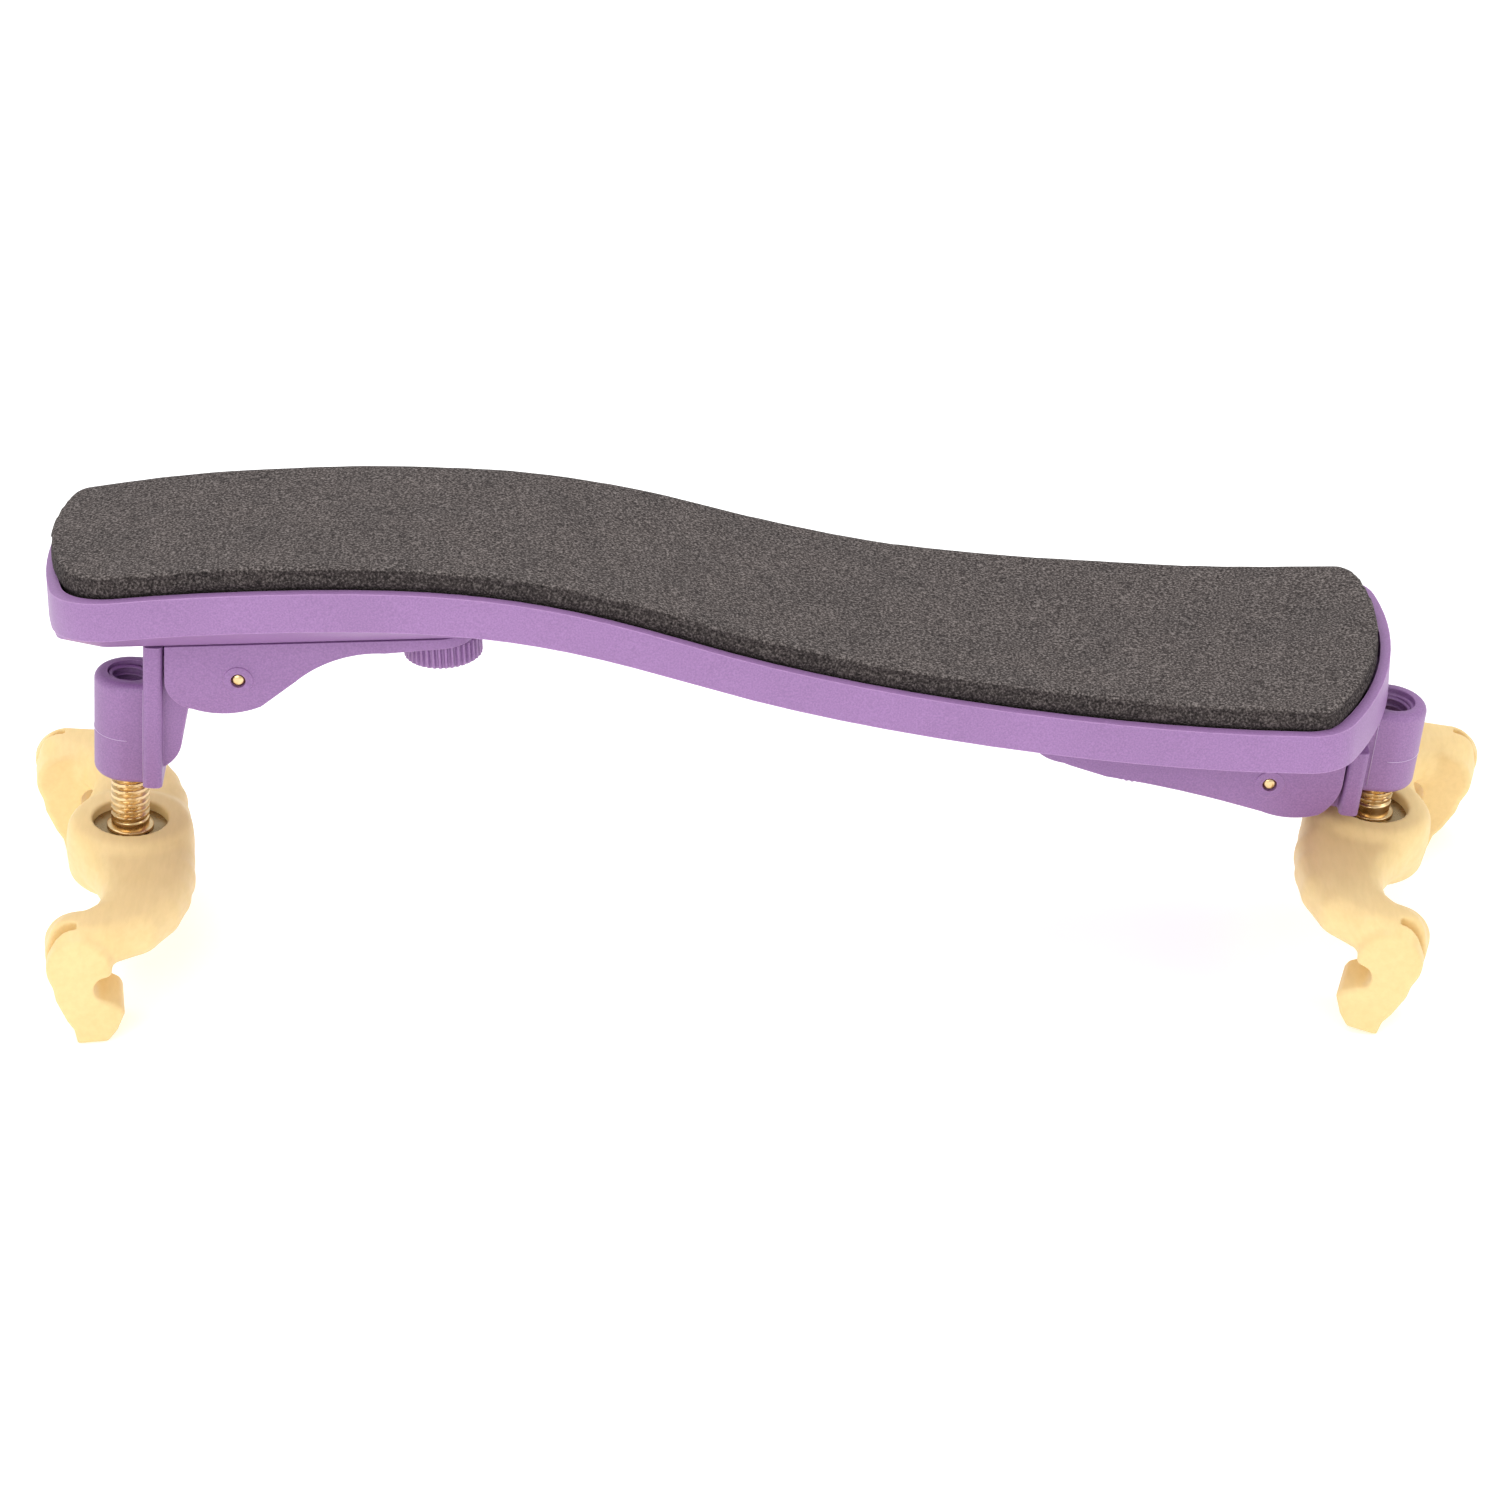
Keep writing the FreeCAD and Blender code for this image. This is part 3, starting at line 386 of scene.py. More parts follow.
def brass(name, shade=1.0):
    """Turned brass, slightly dulled in patches, with fine lathe marks."""
    material, tree, shader = new_material(name, tinted(BRASS, shade), 0.26, 1.0)
    where = place_coordinates(tree)
    dull = noise(tree, where, 300.0, 4.0, 0.6)
    stops = ((0.3, (0.60, 0.40, 0.18)), (0.6, (0.82, 0.61, 0.33)), (0.8, (0.93, 0.74, 0.47)))
    colour = ramp(tree, dull, [(place, tinted(tone, shade)) for place, tone in stops])
    tree.links.new(colour, shader.inputs["Base Color"])
    tree.links.new(map_range(tree, dull, after=(0.16, 0.40)), shader.inputs["Roughness"])
    marks = noise(tree, stretched(tree, where, (0.05, 0.05, 1.0)), 9000.0, 2.0)
    bump(tree, shader, marks, 0.15, 0.03 * MM)
    return material


def nylon():
    tones = ((0.70, 0.68, 0.61), (0.82, 0.80, 0.75))
    return clouded_material("washer_nylon", (0.78, 0.76, 0.70), 0.5, tones, 500.0, (2500.0, 0.2, 0.03))


def adhesive():
    tones = ((0.54, 0.50, 0.38), (0.68, 0.64, 0.53))
    return clouded_material("adhesive_film", (0.62, 0.58, 0.46), 0.6, tones, 350.0, (1200.0, 0.3, 0.05))


def paint(obj, material):
    obj.data.materials.clear()
    obj.data.materials.append(material)


# ---------------------------------------------------------------- meshes

def add_mesh(name, vertices, faces, matrix=None):
    """A new object from vertices in millimetres, moved by matrix and shaded smooth."""
    mesh = bpy.data.meshes.new(name)
    points = np.asarray(vertices, float) * MM
    mesh.from_pydata([tuple(p) for p in points], [], [tuple(int(i) for i in f) for f in faces])
    if matrix is not None:
        mesh.transform(matrix)
    mesh.validate()
    mesh.shade_smooth()
    obj = bpy.data.objects.new(name, mesh)
    bpy.context.scene.collection.objects.link(obj)
    return obj


def stand_in(obj, node, body, material):
    """obj takes the place of a CAD node and rides on its body, and the CAD node is hidden."""
    paint(obj, material)
    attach(obj, body)
    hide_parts(node)
    return obj


def joint_named(name):
    """The frame's joint of that name."""
    return next(joint for joint in frame["joints"] if joint["name"] == name)


def axes_at(origin, x, y, z):
    """The matrix of a frame with those axes at that point."""
    return Matrix.Translation(Vector(origin)) @ Matrix((x, y, z)).transposed().to_4x4()


def moulded_copy(node, name, edge):
    """The CAD node's shape as clean faces, with its sharp edges rounded off by edge millimetres."""
    source = frame["nodes"][node].data
    made = bmesh.new()
    made.from_mesh(source)
    bmesh.ops.remove_doubles(made, verts=made.verts, dist=SAME_POINT * MM)
    flat = math.radians(FLAT_ANGLE)
    bmesh.ops.dissolve_limit(made, angle_limit=flat, verts=made.verts, edges=made.edges)
    least = math.radians(EDGE_ANGLE)
    sharp = [e for e in made.edges if len(e.link_faces) == 2 and e.calc_face_angle(0.0) > least]
    bmesh.ops.bevel(made, geom=sharp, offset=edge * MM, offset_type="OFFSET", segments=EDGE_SEGMENTS,
                    profile=0.5, affect="EDGES", clamp_overlap=True)
    bmesh.ops.triangulate(made, faces=[f for f in made.faces if len(f.verts) > 4])
    vertices = [tuple(v.co / MM) for v in made.verts]
    made.verts.index_update()
    faces = [[v.index for v in f.verts] for f in made.faces]
    made.free()
    obj = add_mesh(name, vertices, faces)
    obj.data.set_sharp_from_angle(angle=math.radians(PLASTIC_CREASE))
    return obj


# ---------------------------------------------------------------- distance fields

FAR_OFF = 1e9
TINY = 1e-12


def smooth_union(a, b, k):
    """The nearer of two distances, with a fillet of about k where they meet."""
    mix = np.clip(0.5 + 0.5 * (b - a) / k, 0.0, 1.0)
    return b * (1 - mix) + a * mix - k * mix * (1 - mix)


def smooth_cut(a, b, k):
    """a with b taken away, with an edge rounded by about k."""
    return -smooth_union(-a, b, k)


def slab(plan, height, half, corner):
    """Distance to a prism: plan distance by half height, with corners of that radius."""
    across = plan + corner
    up = np.abs(height) - half + corner
    outside = np.hypot(np.maximum(across, 0), np.maximum(up, 0))
    return outside + np.minimum(np.maximum(across, up), 0) - corner


def strip(x, y, points):
    """Distance in a plane to a chain of discs joined up: points are (x, y, radius)."""
    nearest = np.full(np.broadcast(x, y).shape, FAR_OFF)
    for (x0, y0, r0), (x1, y1, r1) in zip(points, points[1:]):
        dx = x1 - x0
        dy = y1 - y0
        along = np.clip(((x - x0) * dx + (y - y0) * dy) / (dx * dx + dy * dy), 0, 1)
        gap = np.hypot(x - x0 - along * dx, y - y0 - along * dy) - (r0 + (r1 - r0) * along)
        nearest = np.minimum(nearest, gap)
    return nearest


def polygon(x, z, points):
    """Signed distance in a plane to a closed outline."""
    nearest = np.full(np.broadcast(x, z).shape, FAR_OFF)
    inside = np.zeros(nearest.shape, bool)
    for (x0, z0), (x1, z1) in zip(points, points[1:] + points[:1]):
        dx = x1 - x0
        dz = z1 - z0
        along = np.clip(((x - x0) * dx + (z - z0) * dz) / (dx * dx + dz * dz), 0, 1)
        nearest = np.minimum(nearest, np.hypot(x - x0 - along * dx, z - z0 - along * dz))
        crosses = (z0 > z) != (z1 > z)
        side = x < x0 + (z - z0) * dx / (dz if abs(dz) > TINY else TINY)
        inside ^= crosses & side
    return np.where(inside, -nearest, nearest)


def surface_net(field, low, step):
    """Turns a sampled distance field into a closed quad mesh: (vertices, faces)."""
    solid = field < 0
    cell = tuple(n - 1 for n in field.shape)
    corner = [(i, j, k) for i in (0, 1) for j in (0, 1) for k in (0, 1)]
    count = np.zeros(cell, np.int8)
    for i, j, k in corner:
        count += solid[i:cell[0] + i, j:cell[1] + j, k:cell[2] + k]
    active = (count > 0) & (count < 8)
    cells_at = np.argwhere(active)
    number = np.full(cell, -1)
    number[active] = np.arange(len(cells_at))
    total = np.zeros((len(cells_at), 3))
    hits = np.zeros(len(cells_at))
    unit = np.eye(3, dtype=int)
    for axis in range(3):
        for i, j, k in corner:
            start = np.array((i, j, k))
            if start[axis]:
                continue
            a = cells_at + start
            b = a + unit[axis]
            fa = field[tuple(a.T)]
            fb = field[tuple(b.T)]
            crosses = (fa < 0) != (fb < 0)
            share = fa[crosses] / (fa[crosses] - fb[crosses])
            total[crosses] += a[crosses] + share[:, None] * unit[axis]
            hits[crosses] += 1
    vertices = np.asarray(low) + step * total / hits[:, None]
    faces = []
    for axis in range(3):
        u = unit[(axis + 1) % 3]
        v = unit[(axis + 2) % 3]
        near = [slice(1, -1)] * 3
        far = list(near)
        near[axis] = slice(0, -1)
        far[axis] = slice(1, None)
        first = solid[tuple(near)]
        change = first != solid[tuple(far)]
        base = np.argwhere(change) + 1 - unit[axis]
        quad = np.stack([number[tuple((base - s).T)] for s in (u * 0, u, u + v, v)], axis=1)
        flip = first[change]
        quad[~flip] = quad[~flip][:, ::-1]
        faces.append(quad)
    return vertices, np.concatenate(faces)


# ---------------------------------------------------------------- foam pad

# Each end of the pad's cut outline is an arc from its near corner through its tip to its far
# corner: (millimetres inboard of the end, share of the way across), then the corners' radii
PAD_ENDS = {
    "left": (((5.5, 0.0), (-1.1, 0.76), (1.0, 1.0)), (11.0, 2.6)),
    "right": (((10.1, 0.0), (-0.4, 0.58), (2.0, 1.0)), (2.0, 4.0)),
}
ARC_STEPS = 24
CORNER_STEPS = 8

# A corner's fillet looks this many steps along the arc, and this far inboard along the long side
ARC_HEADING = 6
SIDE_RUN = 60.0


def arc_points(first, through, last, steps):
    """Points along the arc from first through another point to last."""
    (x0, y0), (x1, y1), (x2, y2) = first, through, last
    twice = 2 * (x0 * (y1 - y2) + x1 * (y2 - y0) + x2 * (y0 - y1))
    q0, q1, q2 = (x * x + y * y for x, y in (first, through, last))
    cx = (q0 * (y1 - y2) + q1 * (y2 - y0) + q2 * (y0 - y1)) / twice
    cy = (q0 * (x2 - x1) + q1 * (x0 - x2) + q2 * (x1 - x0)) / twice
    radius = math.hypot(x0 - cx, y0 - cy)
    start = math.atan2(y0 - cy, x0 - cx)
    sweep = math.remainder(math.atan2(y2 - cy, x2 - cx) - start, 2 * math.pi)
    angles = [start + sweep * i / steps for i in range(steps + 1)]
    return [(cx + radius * math.cos(a), cy + radius * math.sin(a)) for a in angles]


def rounded_corner(before, corner, after, radius):
    """Points of a fillet between two straight sides, and how far it reaches along them."""
    here = Vector(corner)
    back = (Vector(before) - here).normalized()
    ahead = (Vector(after) - here).normalized()
    half = back.angle(ahead) / 2
    reach = radius / math.tan(half)
    centre = here + (back + ahead).normalized() * (radius / math.sin(half))
    start = here + back * reach - centre
    stop = here + ahead * reach - centre
    sweep = start.angle_signed(stop)
    turned = [start.copy() for _ in range(CORNER_STEPS + 1)]
    for step, arm in enumerate(turned):
        arm.rotate(Matrix.Rotation(-sweep * step / CORNER_STEPS, 2))
    return [tuple(centre + arm) for arm in turned], reach


def pad_line(tree, low, high, toward):
    """One long edge of the pad as (offset, slope) of a straight line y(x), in millimetres."""
    found = []
    for share in PROBE_SHARES:
        x = low.x + (high.x - low.x) * share
        top = tree.ray_cast(Vector((x, 0.0, high.z + PROBE_GAP * MM)), Vector((0, 0, -1)))[0]
        start = Vector((x, PROBE_OUT * MM * toward, top.z - PROBE_DEPTH * MM))
        hit = tree.ray_cast(start, Vector((0, -toward, 0)))[0]
        found.append((x / MM, hit.y / MM))
    (x0, y0), (x1, y1) = found
    slope = (y1 - y0) / (x1 - x0)
    return y0 - slope * x0, slope


def pad_end(side, at, inward):
    """One end of the pad's outline from its near edge to its far edge, with both corners rounded."""
    (near, tip, far), (near_r, far_r) = PAD_ENDS[side]
    near, tip, far = (at(inward(point[0]), point[1]) for point in (near, tip, far))
    arc = arc_points(near, tip, far, ARC_STEPS)
    along_near = at(inward(SIDE_RUN), 0.0)
    along_far = at(inward(SIDE_RUN), 1.0)
    first, reach_near = rounded_corner(along_near, near, arc[ARC_HEADING], near_r)
    last, reach_far = rounded_corner(arc[-1 - ARC_HEADING], far, along_far, far_r)
    middle = [p for p in arc if math.dist(p, near) > reach_near and math.dist(p, far) > reach_far]
    return first + middle + last


def pad_outline(tree, low, high):
    """Plan outline of the pad, round from its left end, in millimetres."""
    near = pad_line(tree, low, high, -1)
    far = pad_line(tree, low, high, 1)

    def at(x, share):
        y_near = near[0] + near[1] * x
        y_far = far[0] + far[1] * x
        return (x, y_near + (y_far - y_near) * share)

    left = pad_end("left", at, lambda inboard: low.x / MM + inboard)
    right = pad_end("right", at, lambda inboard: high.x / MM - inboard)
    return left + right[::-1]


def pad_heights(tree, low, high, side):
    """Height and cross slope of the pad's top (side 1) or bottom (side -1) at stations along x."""
    stations = np.linspace(low.x / MM + STATION_FIRST, high.x / MM - STATION_LAST, STATIONS)
    middle = []
    slope = []
    start = (high.z if side > 0 else low.z) + side * PROBE_GAP * MM
    for x in stations:
        heights = []
        for y in (-PROBE_Y, PROBE_Y):
            hit = tree.ray_cast(Vector((x * MM, y * MM, start)), Vector((0, 0, -side)))[0]
            heights.append(hit.z / MM)
        middle.append(sum(heights) / 2)
        slope.append((heights[1] - heights[0]) / (2 * PROBE_Y))
    return stations, np.array(middle), np.array(slope)


def height_at(line, x, y):
    """Height of a pad surface at plan points, run on straight past the first and last stations."""
    stations, middle, slope = line
    inside = np.clip(x, stations[0], stations[-1])
    first = (middle[1] - middle[0]) / (stations[1] - stations[0])
    last = (middle[-1] - middle[-2]) / (stations[-1] - stations[-2])
    past = (x - inside) * np.where(x < inside, first, last)
    return np.interp(inside, stations, middle) + past + np.interp(inside, stations, slope) * y


def waves(x, y, parts):
    """The product of sine waves at plan points."""
    return math.prod(np.sin(x * along_x + y * along_y + start) for along_x, along_y, start in parts)


def foam_pad():
    """Die-cut foam: crisp top edge, a crease along the cut side and a slightly uneven face."""
    source = frame["nodes"]["foam_pad"].data
    tree = BVHTree.FromPolygons([v.co for v in source.vertices], [p.vertices for p in source.polygons])
    low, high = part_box("foam_pad")
    top = pad_heights(tree, low, high, 1)
    bottom = pad_heights(tree, low, high, -1)
    thick = float(np.mean(top[1] - bottom[1]))
    outline = pad_outline(tree, low, high)
    start = (*(np.min(outline, axis=0) - PAD_MARGIN), -thick - PAD_MARGIN_UP)
    stop = (*(np.max(outline, axis=0) + PAD_MARGIN), PAD_MARGIN_UP)
    axes = [np.arange(a, b, PAD_STEP) for a, b in zip(start, stop)]
    x, y, depth = np.meshgrid(*axes, indexing="ij")
    plan = polygon(x[:, :, 0], y[:, :, 0], outline)[:, :, None]
    ragged = PAD_RAGGED * waves(x, y, RAGGED_WAVES)
    crease = PAD_CREASE * np.exp(-((depth + PAD_CREASE_DEPTH) / PAD_CREASE_RUN) ** 2)
    tuck = PAD_TUCK * np.clip(-(depth + PAD_TUCK_DEPTH) / PAD_TUCK_RUN, 0.0, 1.0)
    side = plan + ragged + crease + tuck
    field = slab(side, depth + thick / 2, thick / 2, PAD_EDGE)
    vertices, faces = surface_net(field, start, PAD_STEP)
    wave = waves(vertices[:, 0], vertices[:, 1], FACE_WAVES)
    upper = np.clip(1.0 + vertices[:, 2] / thick, 0.0, 1.0)
    vertices[:, 2] += height_at(top, vertices[:, 0], vertices[:, 1]) + PAD_WAVE * wave * upper
    obj = add_mesh("foam_pad_cut", vertices, faces)
    even_out(obj, 2)
    stand_in(obj, "foam_pad", "base", foam_material())
    return obj


def even_out(obj, rounds):
    """Evens out the small steps that a sampled surface has."""
    smooth = obj.modifiers.new("even", "SMOOTH")
    smooth.factor = 0.5
    smooth.iterations = rounds
    ready = obj.evaluated_get(bpy.context.evaluated_depsgraph_get())
    mesh = bpy.data.meshes.new_from_object(ready)
    obj.modifiers.clear()
    obj.data = mesh
    mesh.shade_smooth()


# ---------------------------------------------------------------- forks

ARM_LINE = (
    (0.0, 0.0, 9.6),
    (1.1, 7.0, 9.3),
    (1.9, 12.5, 8.3),
    (1.9, 17.5, 7.4),
    (0.9, 22.5, 6.7),
    (-1.6, 27.5, 6.0),
    (-5.8, 30.8, 5.2),
    (-9.4, 31.8, 4.7),
)

# Claw seen from the side: a bulge, the shank under it, a lower jaw and the mouth between
BULGE = (-9.6, 13.8, 5.3)
CLAW_SHANK = (
    (-12.4, 16.0),
    (-14.1, 12.0),
    (-13.4, 8.0),
    (-11.6, 4.2),
    (-10.4, 2.4),
    (-9.9, 0.0),
    (-4.9, 0.35),
    (-3.4, 2.4),
    (-2.2, 5.6),
    (-2.8, 6.8),
    (-5.6, 8.3),
    (-6.6, 9.4),
    (-6.6, 11.4),
    (-6.2, 12.5),
    (-5.4, 12.9),
    (-5.2, 15.0),
)
MOUTH = (
    (-5.2, 10.3, 2.1),
    (0.5, 10.1, 2.6),
)

GROOVE_LINE = (
    (-11.6, 19.3, 1.5),
    (-13.7, 17.5, 1.6),
    (-15.0, 14.8, 1.3),
    (-15.2, 12.2, 0.8),
    (-14.8, 9.6, 0.4),
)


def fork_field(x, y, z):
    """Signed distance to one fork in its own frame, millimetres."""
    side = np.abs(y)
    from_axis = np.hypot(x, y)
    plan = strip(x, side, ARM_LINE)
    arms = slab(plan, z - (ARM_LOW + ARM_TOP) / 2, (ARM_TOP - ARM_LOW) / 2, ARM_ROUND)
    hub = slab(from_axis - HUB_R, z - (HUB_LOW + HUB_TOP) / 2, (HUB_TOP - HUB_LOW) / 2, HUB_ROUND)
    body = smooth_union(arms, hub, HUB_FILLET)
    flat_x = x[:, 0, :]
    flat_z = z[:, 0, :]
    bulge = np.hypot(flat_x - BULGE[0], flat_z - BULGE[1]) - BULGE[2]
    outline = smooth_union(bulge, polygon(flat_x, flat_z, CLAW_SHANK), BULGE_FILLET)[:, None, :]
    claw = slab(outline, side - CLAW_Y, CLAW_HALF, CLAW_ROUND)
    body = smooth_union(body, claw, CLAW_FILLET)
    mouth = strip(flat_x, flat_z, MOUTH)[:, None, :]
    near_claw = side > CLAW_Y - CLAW_HALF - MOUTH_MARGIN
    body = np.where(near_claw, smooth_cut(body, mouth, MOUTH_EDGE), body)
    slot = np.maximum(strip(flat_x, flat_z, GROOVE_LINE), 0.0)[:, None, :]
    groove = np.hypot(slot, np.maximum(np.abs(side - GROOVE_Y) - GROOVE_HALF, 0.0))
    body = smooth_cut(body, groove - GROOVE_R, GROOVE_EDGE)
    recess = np.maximum(from_axis - RECESS_R, RECESS_LOW - z)
    socket = np.maximum(from_axis - SOCKET_R, SOCKET_LOW - z)
    return np.maximum(body, -np.minimum(recess, socket))


def fork_matrix(side):
    """The fork's own frame, read from its turning joint and its two claws' mouths."""
    joint = joint_named(f"{side}_fork_turn")
    mouths = {m["name"]: Vector(m["pos_m"]) for m in frame["record"]["mounts"]}
    up = Vector(joint["axis"])
    reach = mouths[f"{side}_far_claw_mouth"] - mouths[f"{side}_near_claw_mouth"]
    if side == "right":
        reach = -reach
    along = (reach - up * reach.dot(up)).normalized()
    return axes_at(joint["pos_m"], along.cross(up), along, up)


def fork(side, material):
    """Rubber fork: two arms from a hub, with a claw at the end of each."""
    axes = [np.arange(a, b, FORK_STEP) for a, b in zip(FORK_LOW, FORK_HIGH)]
    x, y, z = np.meshgrid(*axes, indexing="ij")
    vertices, faces = surface_net(fork_field(x, y, z), FORK_LOW, FORK_STEP)
    obj = add_mesh(f"{side}_fork_skin", vertices, faces, fork_matrix(side))
    even_out(obj, 3)
    return stand_in(obj, f"{side}_fork", f"{side}_fork", material)


# ---------------------------------------------------------------- turned and threaded pieces

def ring_angles(sides):
    return [2 * math.pi * i / sides for i in range(sides)]


def ring(height, radii):
    """A ring of points round z, evenly spaced, one for each radius."""
    angles = ring_angles(len(radii))
    return [(r * math.cos(angle), r * math.sin(angle), height) for r, angle in zip(radii, angles)]


def band(first, second, sides):
    """Quads between two rings of vertices, given by the number of each ring's first vertex."""
    pairs = [(i, (i + 1) % sides) for i in range(sides)]
    return [(first + i, first + j, second + j, second + i) for i, j in pairs]


def tube_faces(rings, sides):
    """Faces of a closed tube: the bands between its rings, then its first and last caps."""
    faces = []
    for number in range(rings - 1):
        faces += band(number * sides, (number + 1) * sides, sides)
    top = (rings - 1) * sides
    return faces + [tuple(reversed(range(sides))), tuple(range(top, top + sides))]


def turned_mesh(rings, radius_at, sides):
    """A closed surface of revolution: rings are heights, radius_at(height, angle) its radius."""
    vertices = []
    for height in rings:
        vertices += ring(height, [radius_at(height, angle) for angle in ring_angles(sides)])
    return vertices, tube_faces(len(rings), sides)


def thread_radius(height, angle, crest, depth, pitch):
    """A right-hand thread with broad crests and narrow rounded grooves."""
    phase = (height / pitch - angle / (2 * math.pi)) % 1.0
    away = abs(phase - 0.5) * 2
    return crest - depth * max(0.0, 1.0 - away * GROOVE_NARROWING) ** GROOVE_SHARPNESS


def fork_screw(side, material):
    """The fork's brass screw: plain shank and collar at its foot, thread above."""
    plain_top = COLLAR_TOP + SCREW_PLAIN
    rings = [SCREW_FOOT, COLLAR_LOW, COLLAR_LOW + SHARP_STEP]
    rings += [COLLAR_TOP - COLLAR_CHAMFER, COLLAR_TOP, COLLAR_TOP + SHARP_STEP]
    steps = int((SCREW_TOP - plain_top) / SCREW_PITCH * SCREW_RINGS)
    rings += [plain_top + (SCREW_TOP - plain_top) * i / steps for i in range(steps + 1)]

    def radius(height, angle):
        if COLLAR_LOW < height < COLLAR_TOP:
            return COLLAR_R
        if height == COLLAR_TOP:
            return COLLAR_R - COLLAR_CHAMFER
        if height < plain_top:
            return SCREW_PLAIN_R
        fade = min(1.0, (height - plain_top) / SCREW_PITCH)
        r = thread_radius(height, angle, SCREW_R, SCREW_DEPTH * fade, SCREW_PITCH)
        return min(r, SCREW_R - SCREW_CHAMFER + (SCREW_TOP - height) * CHAMFER_SLOPE)

    vertices, faces = turned_mesh(rings, radius, THREAD_SIDES)
    obj = add_mesh(f"{side}_fork_screw", vertices, faces, fork_matrix(side))
    obj.data.set_sharp_from_angle(angle=math.radians(BRASS_CREASE))
    return stand_in(obj, f"{side}_fork_stem", f"{side}_fork", material)


def knob_matrix(side):
    """The knob's frame: its joint's place, z up the stud and x along the tray."""
    joint = joint_named(f"{side}_knob_turn")
    up = -Vector(joint["axis"])
    along = Vector((1, 0, 0))
    along = (along - up * along.dot(up)).normalized()
    return axes_at(joint["pos_m"], along, up.cross(along), up)


def span_along(node, matrix):
    """Lowest and highest height and the largest radius of a CAD node in a frame of its own, mm."""
    inverse = matrix.inverted()
    points = [inverse @ v.co for v in frame["nodes"][node].data.vertices]
    heights = [p.z / MM for p in points]
    radius = max(math.hypot(p.x, p.y) for p in points) / MM
    return min(heights), max(heights), radius


def thumb_wheel(side, material):
    """Thumb wheel with rounded ribs round its rim and a shallow dish in its face."""
    matrix = knob_matrix(side)
    low, high, outer = span_along(f"{side}_thumb_wheel", matrix)
    valley = outer - RIB_HEIGHT
    sides = WHEEL_RIBS * RIB_SIDES
    section = {low + rise: (inset, share) for rise, inset, share in WHEEL_EDGE}
    section.update({high - rise: (inset, share) for rise, inset, share in reversed(WHEEL_EDGE)})

    def radius(height, angle):
        inset, share = section[height]
        rib = math.sin(angle * WHEEL_RIBS)
        raised = RIB_HEIGHT * min(1.0, max(0.0, (rib + RIB_START) * RIB_FLANK))
        return valley + raised * share - inset

    vertices, faces = turned_mesh(list(section), radius, sides)
    faces.remove(tuple(reversed(range(sides))))
    outside = 0
    for r, depth in WHEEL_DISH:
        inside = len(vertices)
        vertices += ring(low + depth, [r] * sides)
        faces += band(inside, outside, sides)
        outside = inside
    faces.append(tuple(reversed(range(outside, outside + sides))))
    obj = add_mesh(f"{side}_ribbed_wheel", vertices, faces, matrix)
    obj.data.set_sharp_from_angle(angle=math.radians(WHEEL_CREASE))
    return stand_in(obj, f"{side}_thumb_wheel", f"{side}_knob", material)


def thumb_stud(side, material):
    """The clamp stud moulded in the wheel, threaded over its whole length."""
    matrix = knob_matrix(side)
    low, high, _ = span_along(f"{side}_thumb_stud", matrix)
    steps = int((high - low) / STUD_PITCH * STUD_RINGS)
    rings = [low + (high - low) * i / steps for i in range(steps + 1)]

    def radius(height, angle):
        r = thread_radius(height, angle, STUD_R, STUD_DEPTH, STUD_PITCH)
        return min(r, STUD_R - STUD_CHAMFER + (high - height) * CHAMFER_SLOPE)

    vertices, faces = turned_mesh(rings, radius, SMALL_SIDES)
    obj = add_mesh(f"{side}_clamp_stud", vertices, faces, matrix)
    return stand_in(obj, f"{side}_thumb_stud", f"{side}_knob", material)


def pivot_pin(side, material):
    """Brass pin with a necked, domed head at each end."""
    joint = joint_named(f"{side}_fold")
    turn = Vector(joint["axis"]).to_track_quat("Z", "Y").to_matrix().to_4x4()
    matrix = Matrix.Translation(Vector(joint["pos_m"])) @ turn
    low, high, _ = span_along(f"{side}_pivot_pin", matrix)
    radii = {low + rise: r for rise, r in PIN_HEAD}
    radii.update({high - rise: r for rise, r in reversed(PIN_HEAD)})
    vertices, faces = turned_mesh(list(radii), lambda height, angle: radii[height], SMALL_SIDES)
    obj = add_mesh(f"{side}_headed_pin", vertices, faces, matrix)
    obj.data.set_sharp_from_angle(angle=math.radians(BRASS_CREASE))
    return stand_in(obj, f"{side}_pivot_pin", f"{side}_bracket", material)


def swept(name, centres, outward, upward, profile, material, side):
    """A closed bead on a post: profile points (out, up) in millimetres carried along centres."""
    vertices = []
    for centre, out, up in zip(centres, outward, upward):
        for a, b in profile:
            vertices.append(tuple(centre + out * a + up * b))
    faces = tube_faces(len(centres), len(profile))
    obj = add_mesh(name, vertices, faces, fork_matrix(side))
    mesh = bmesh.new()
    mesh.from_mesh(obj.data)
    bmesh.ops.recalc_face_normals(mesh, faces=mesh.faces)
    mesh.to_mesh(obj.data)
    mesh.free()
    paint(obj, material)
    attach(obj, f"{side}_post")
    return obj


def tube_span(side):
    """Lowest and highest heights of the post's tube in the fork's frame, mm."""
    inverse = fork_matrix(side).inverted()
    points = [inverse @ v.co for v in frame["nodes"][f"{side}_post"].data.vertices]
    near = [p / MM for p in points if math.hypot(p.x, p.y) < (TUBE_R + TUBE_SLACK) * MM]
    heights = [p.z for p in near]
    return min(heights), max(heights)


def facing_out(angle):
    """The unit vector square to the screw's axis at that angle in the fork's frame."""
    return Vector((math.cos(angle), math.sin(angle), 0))


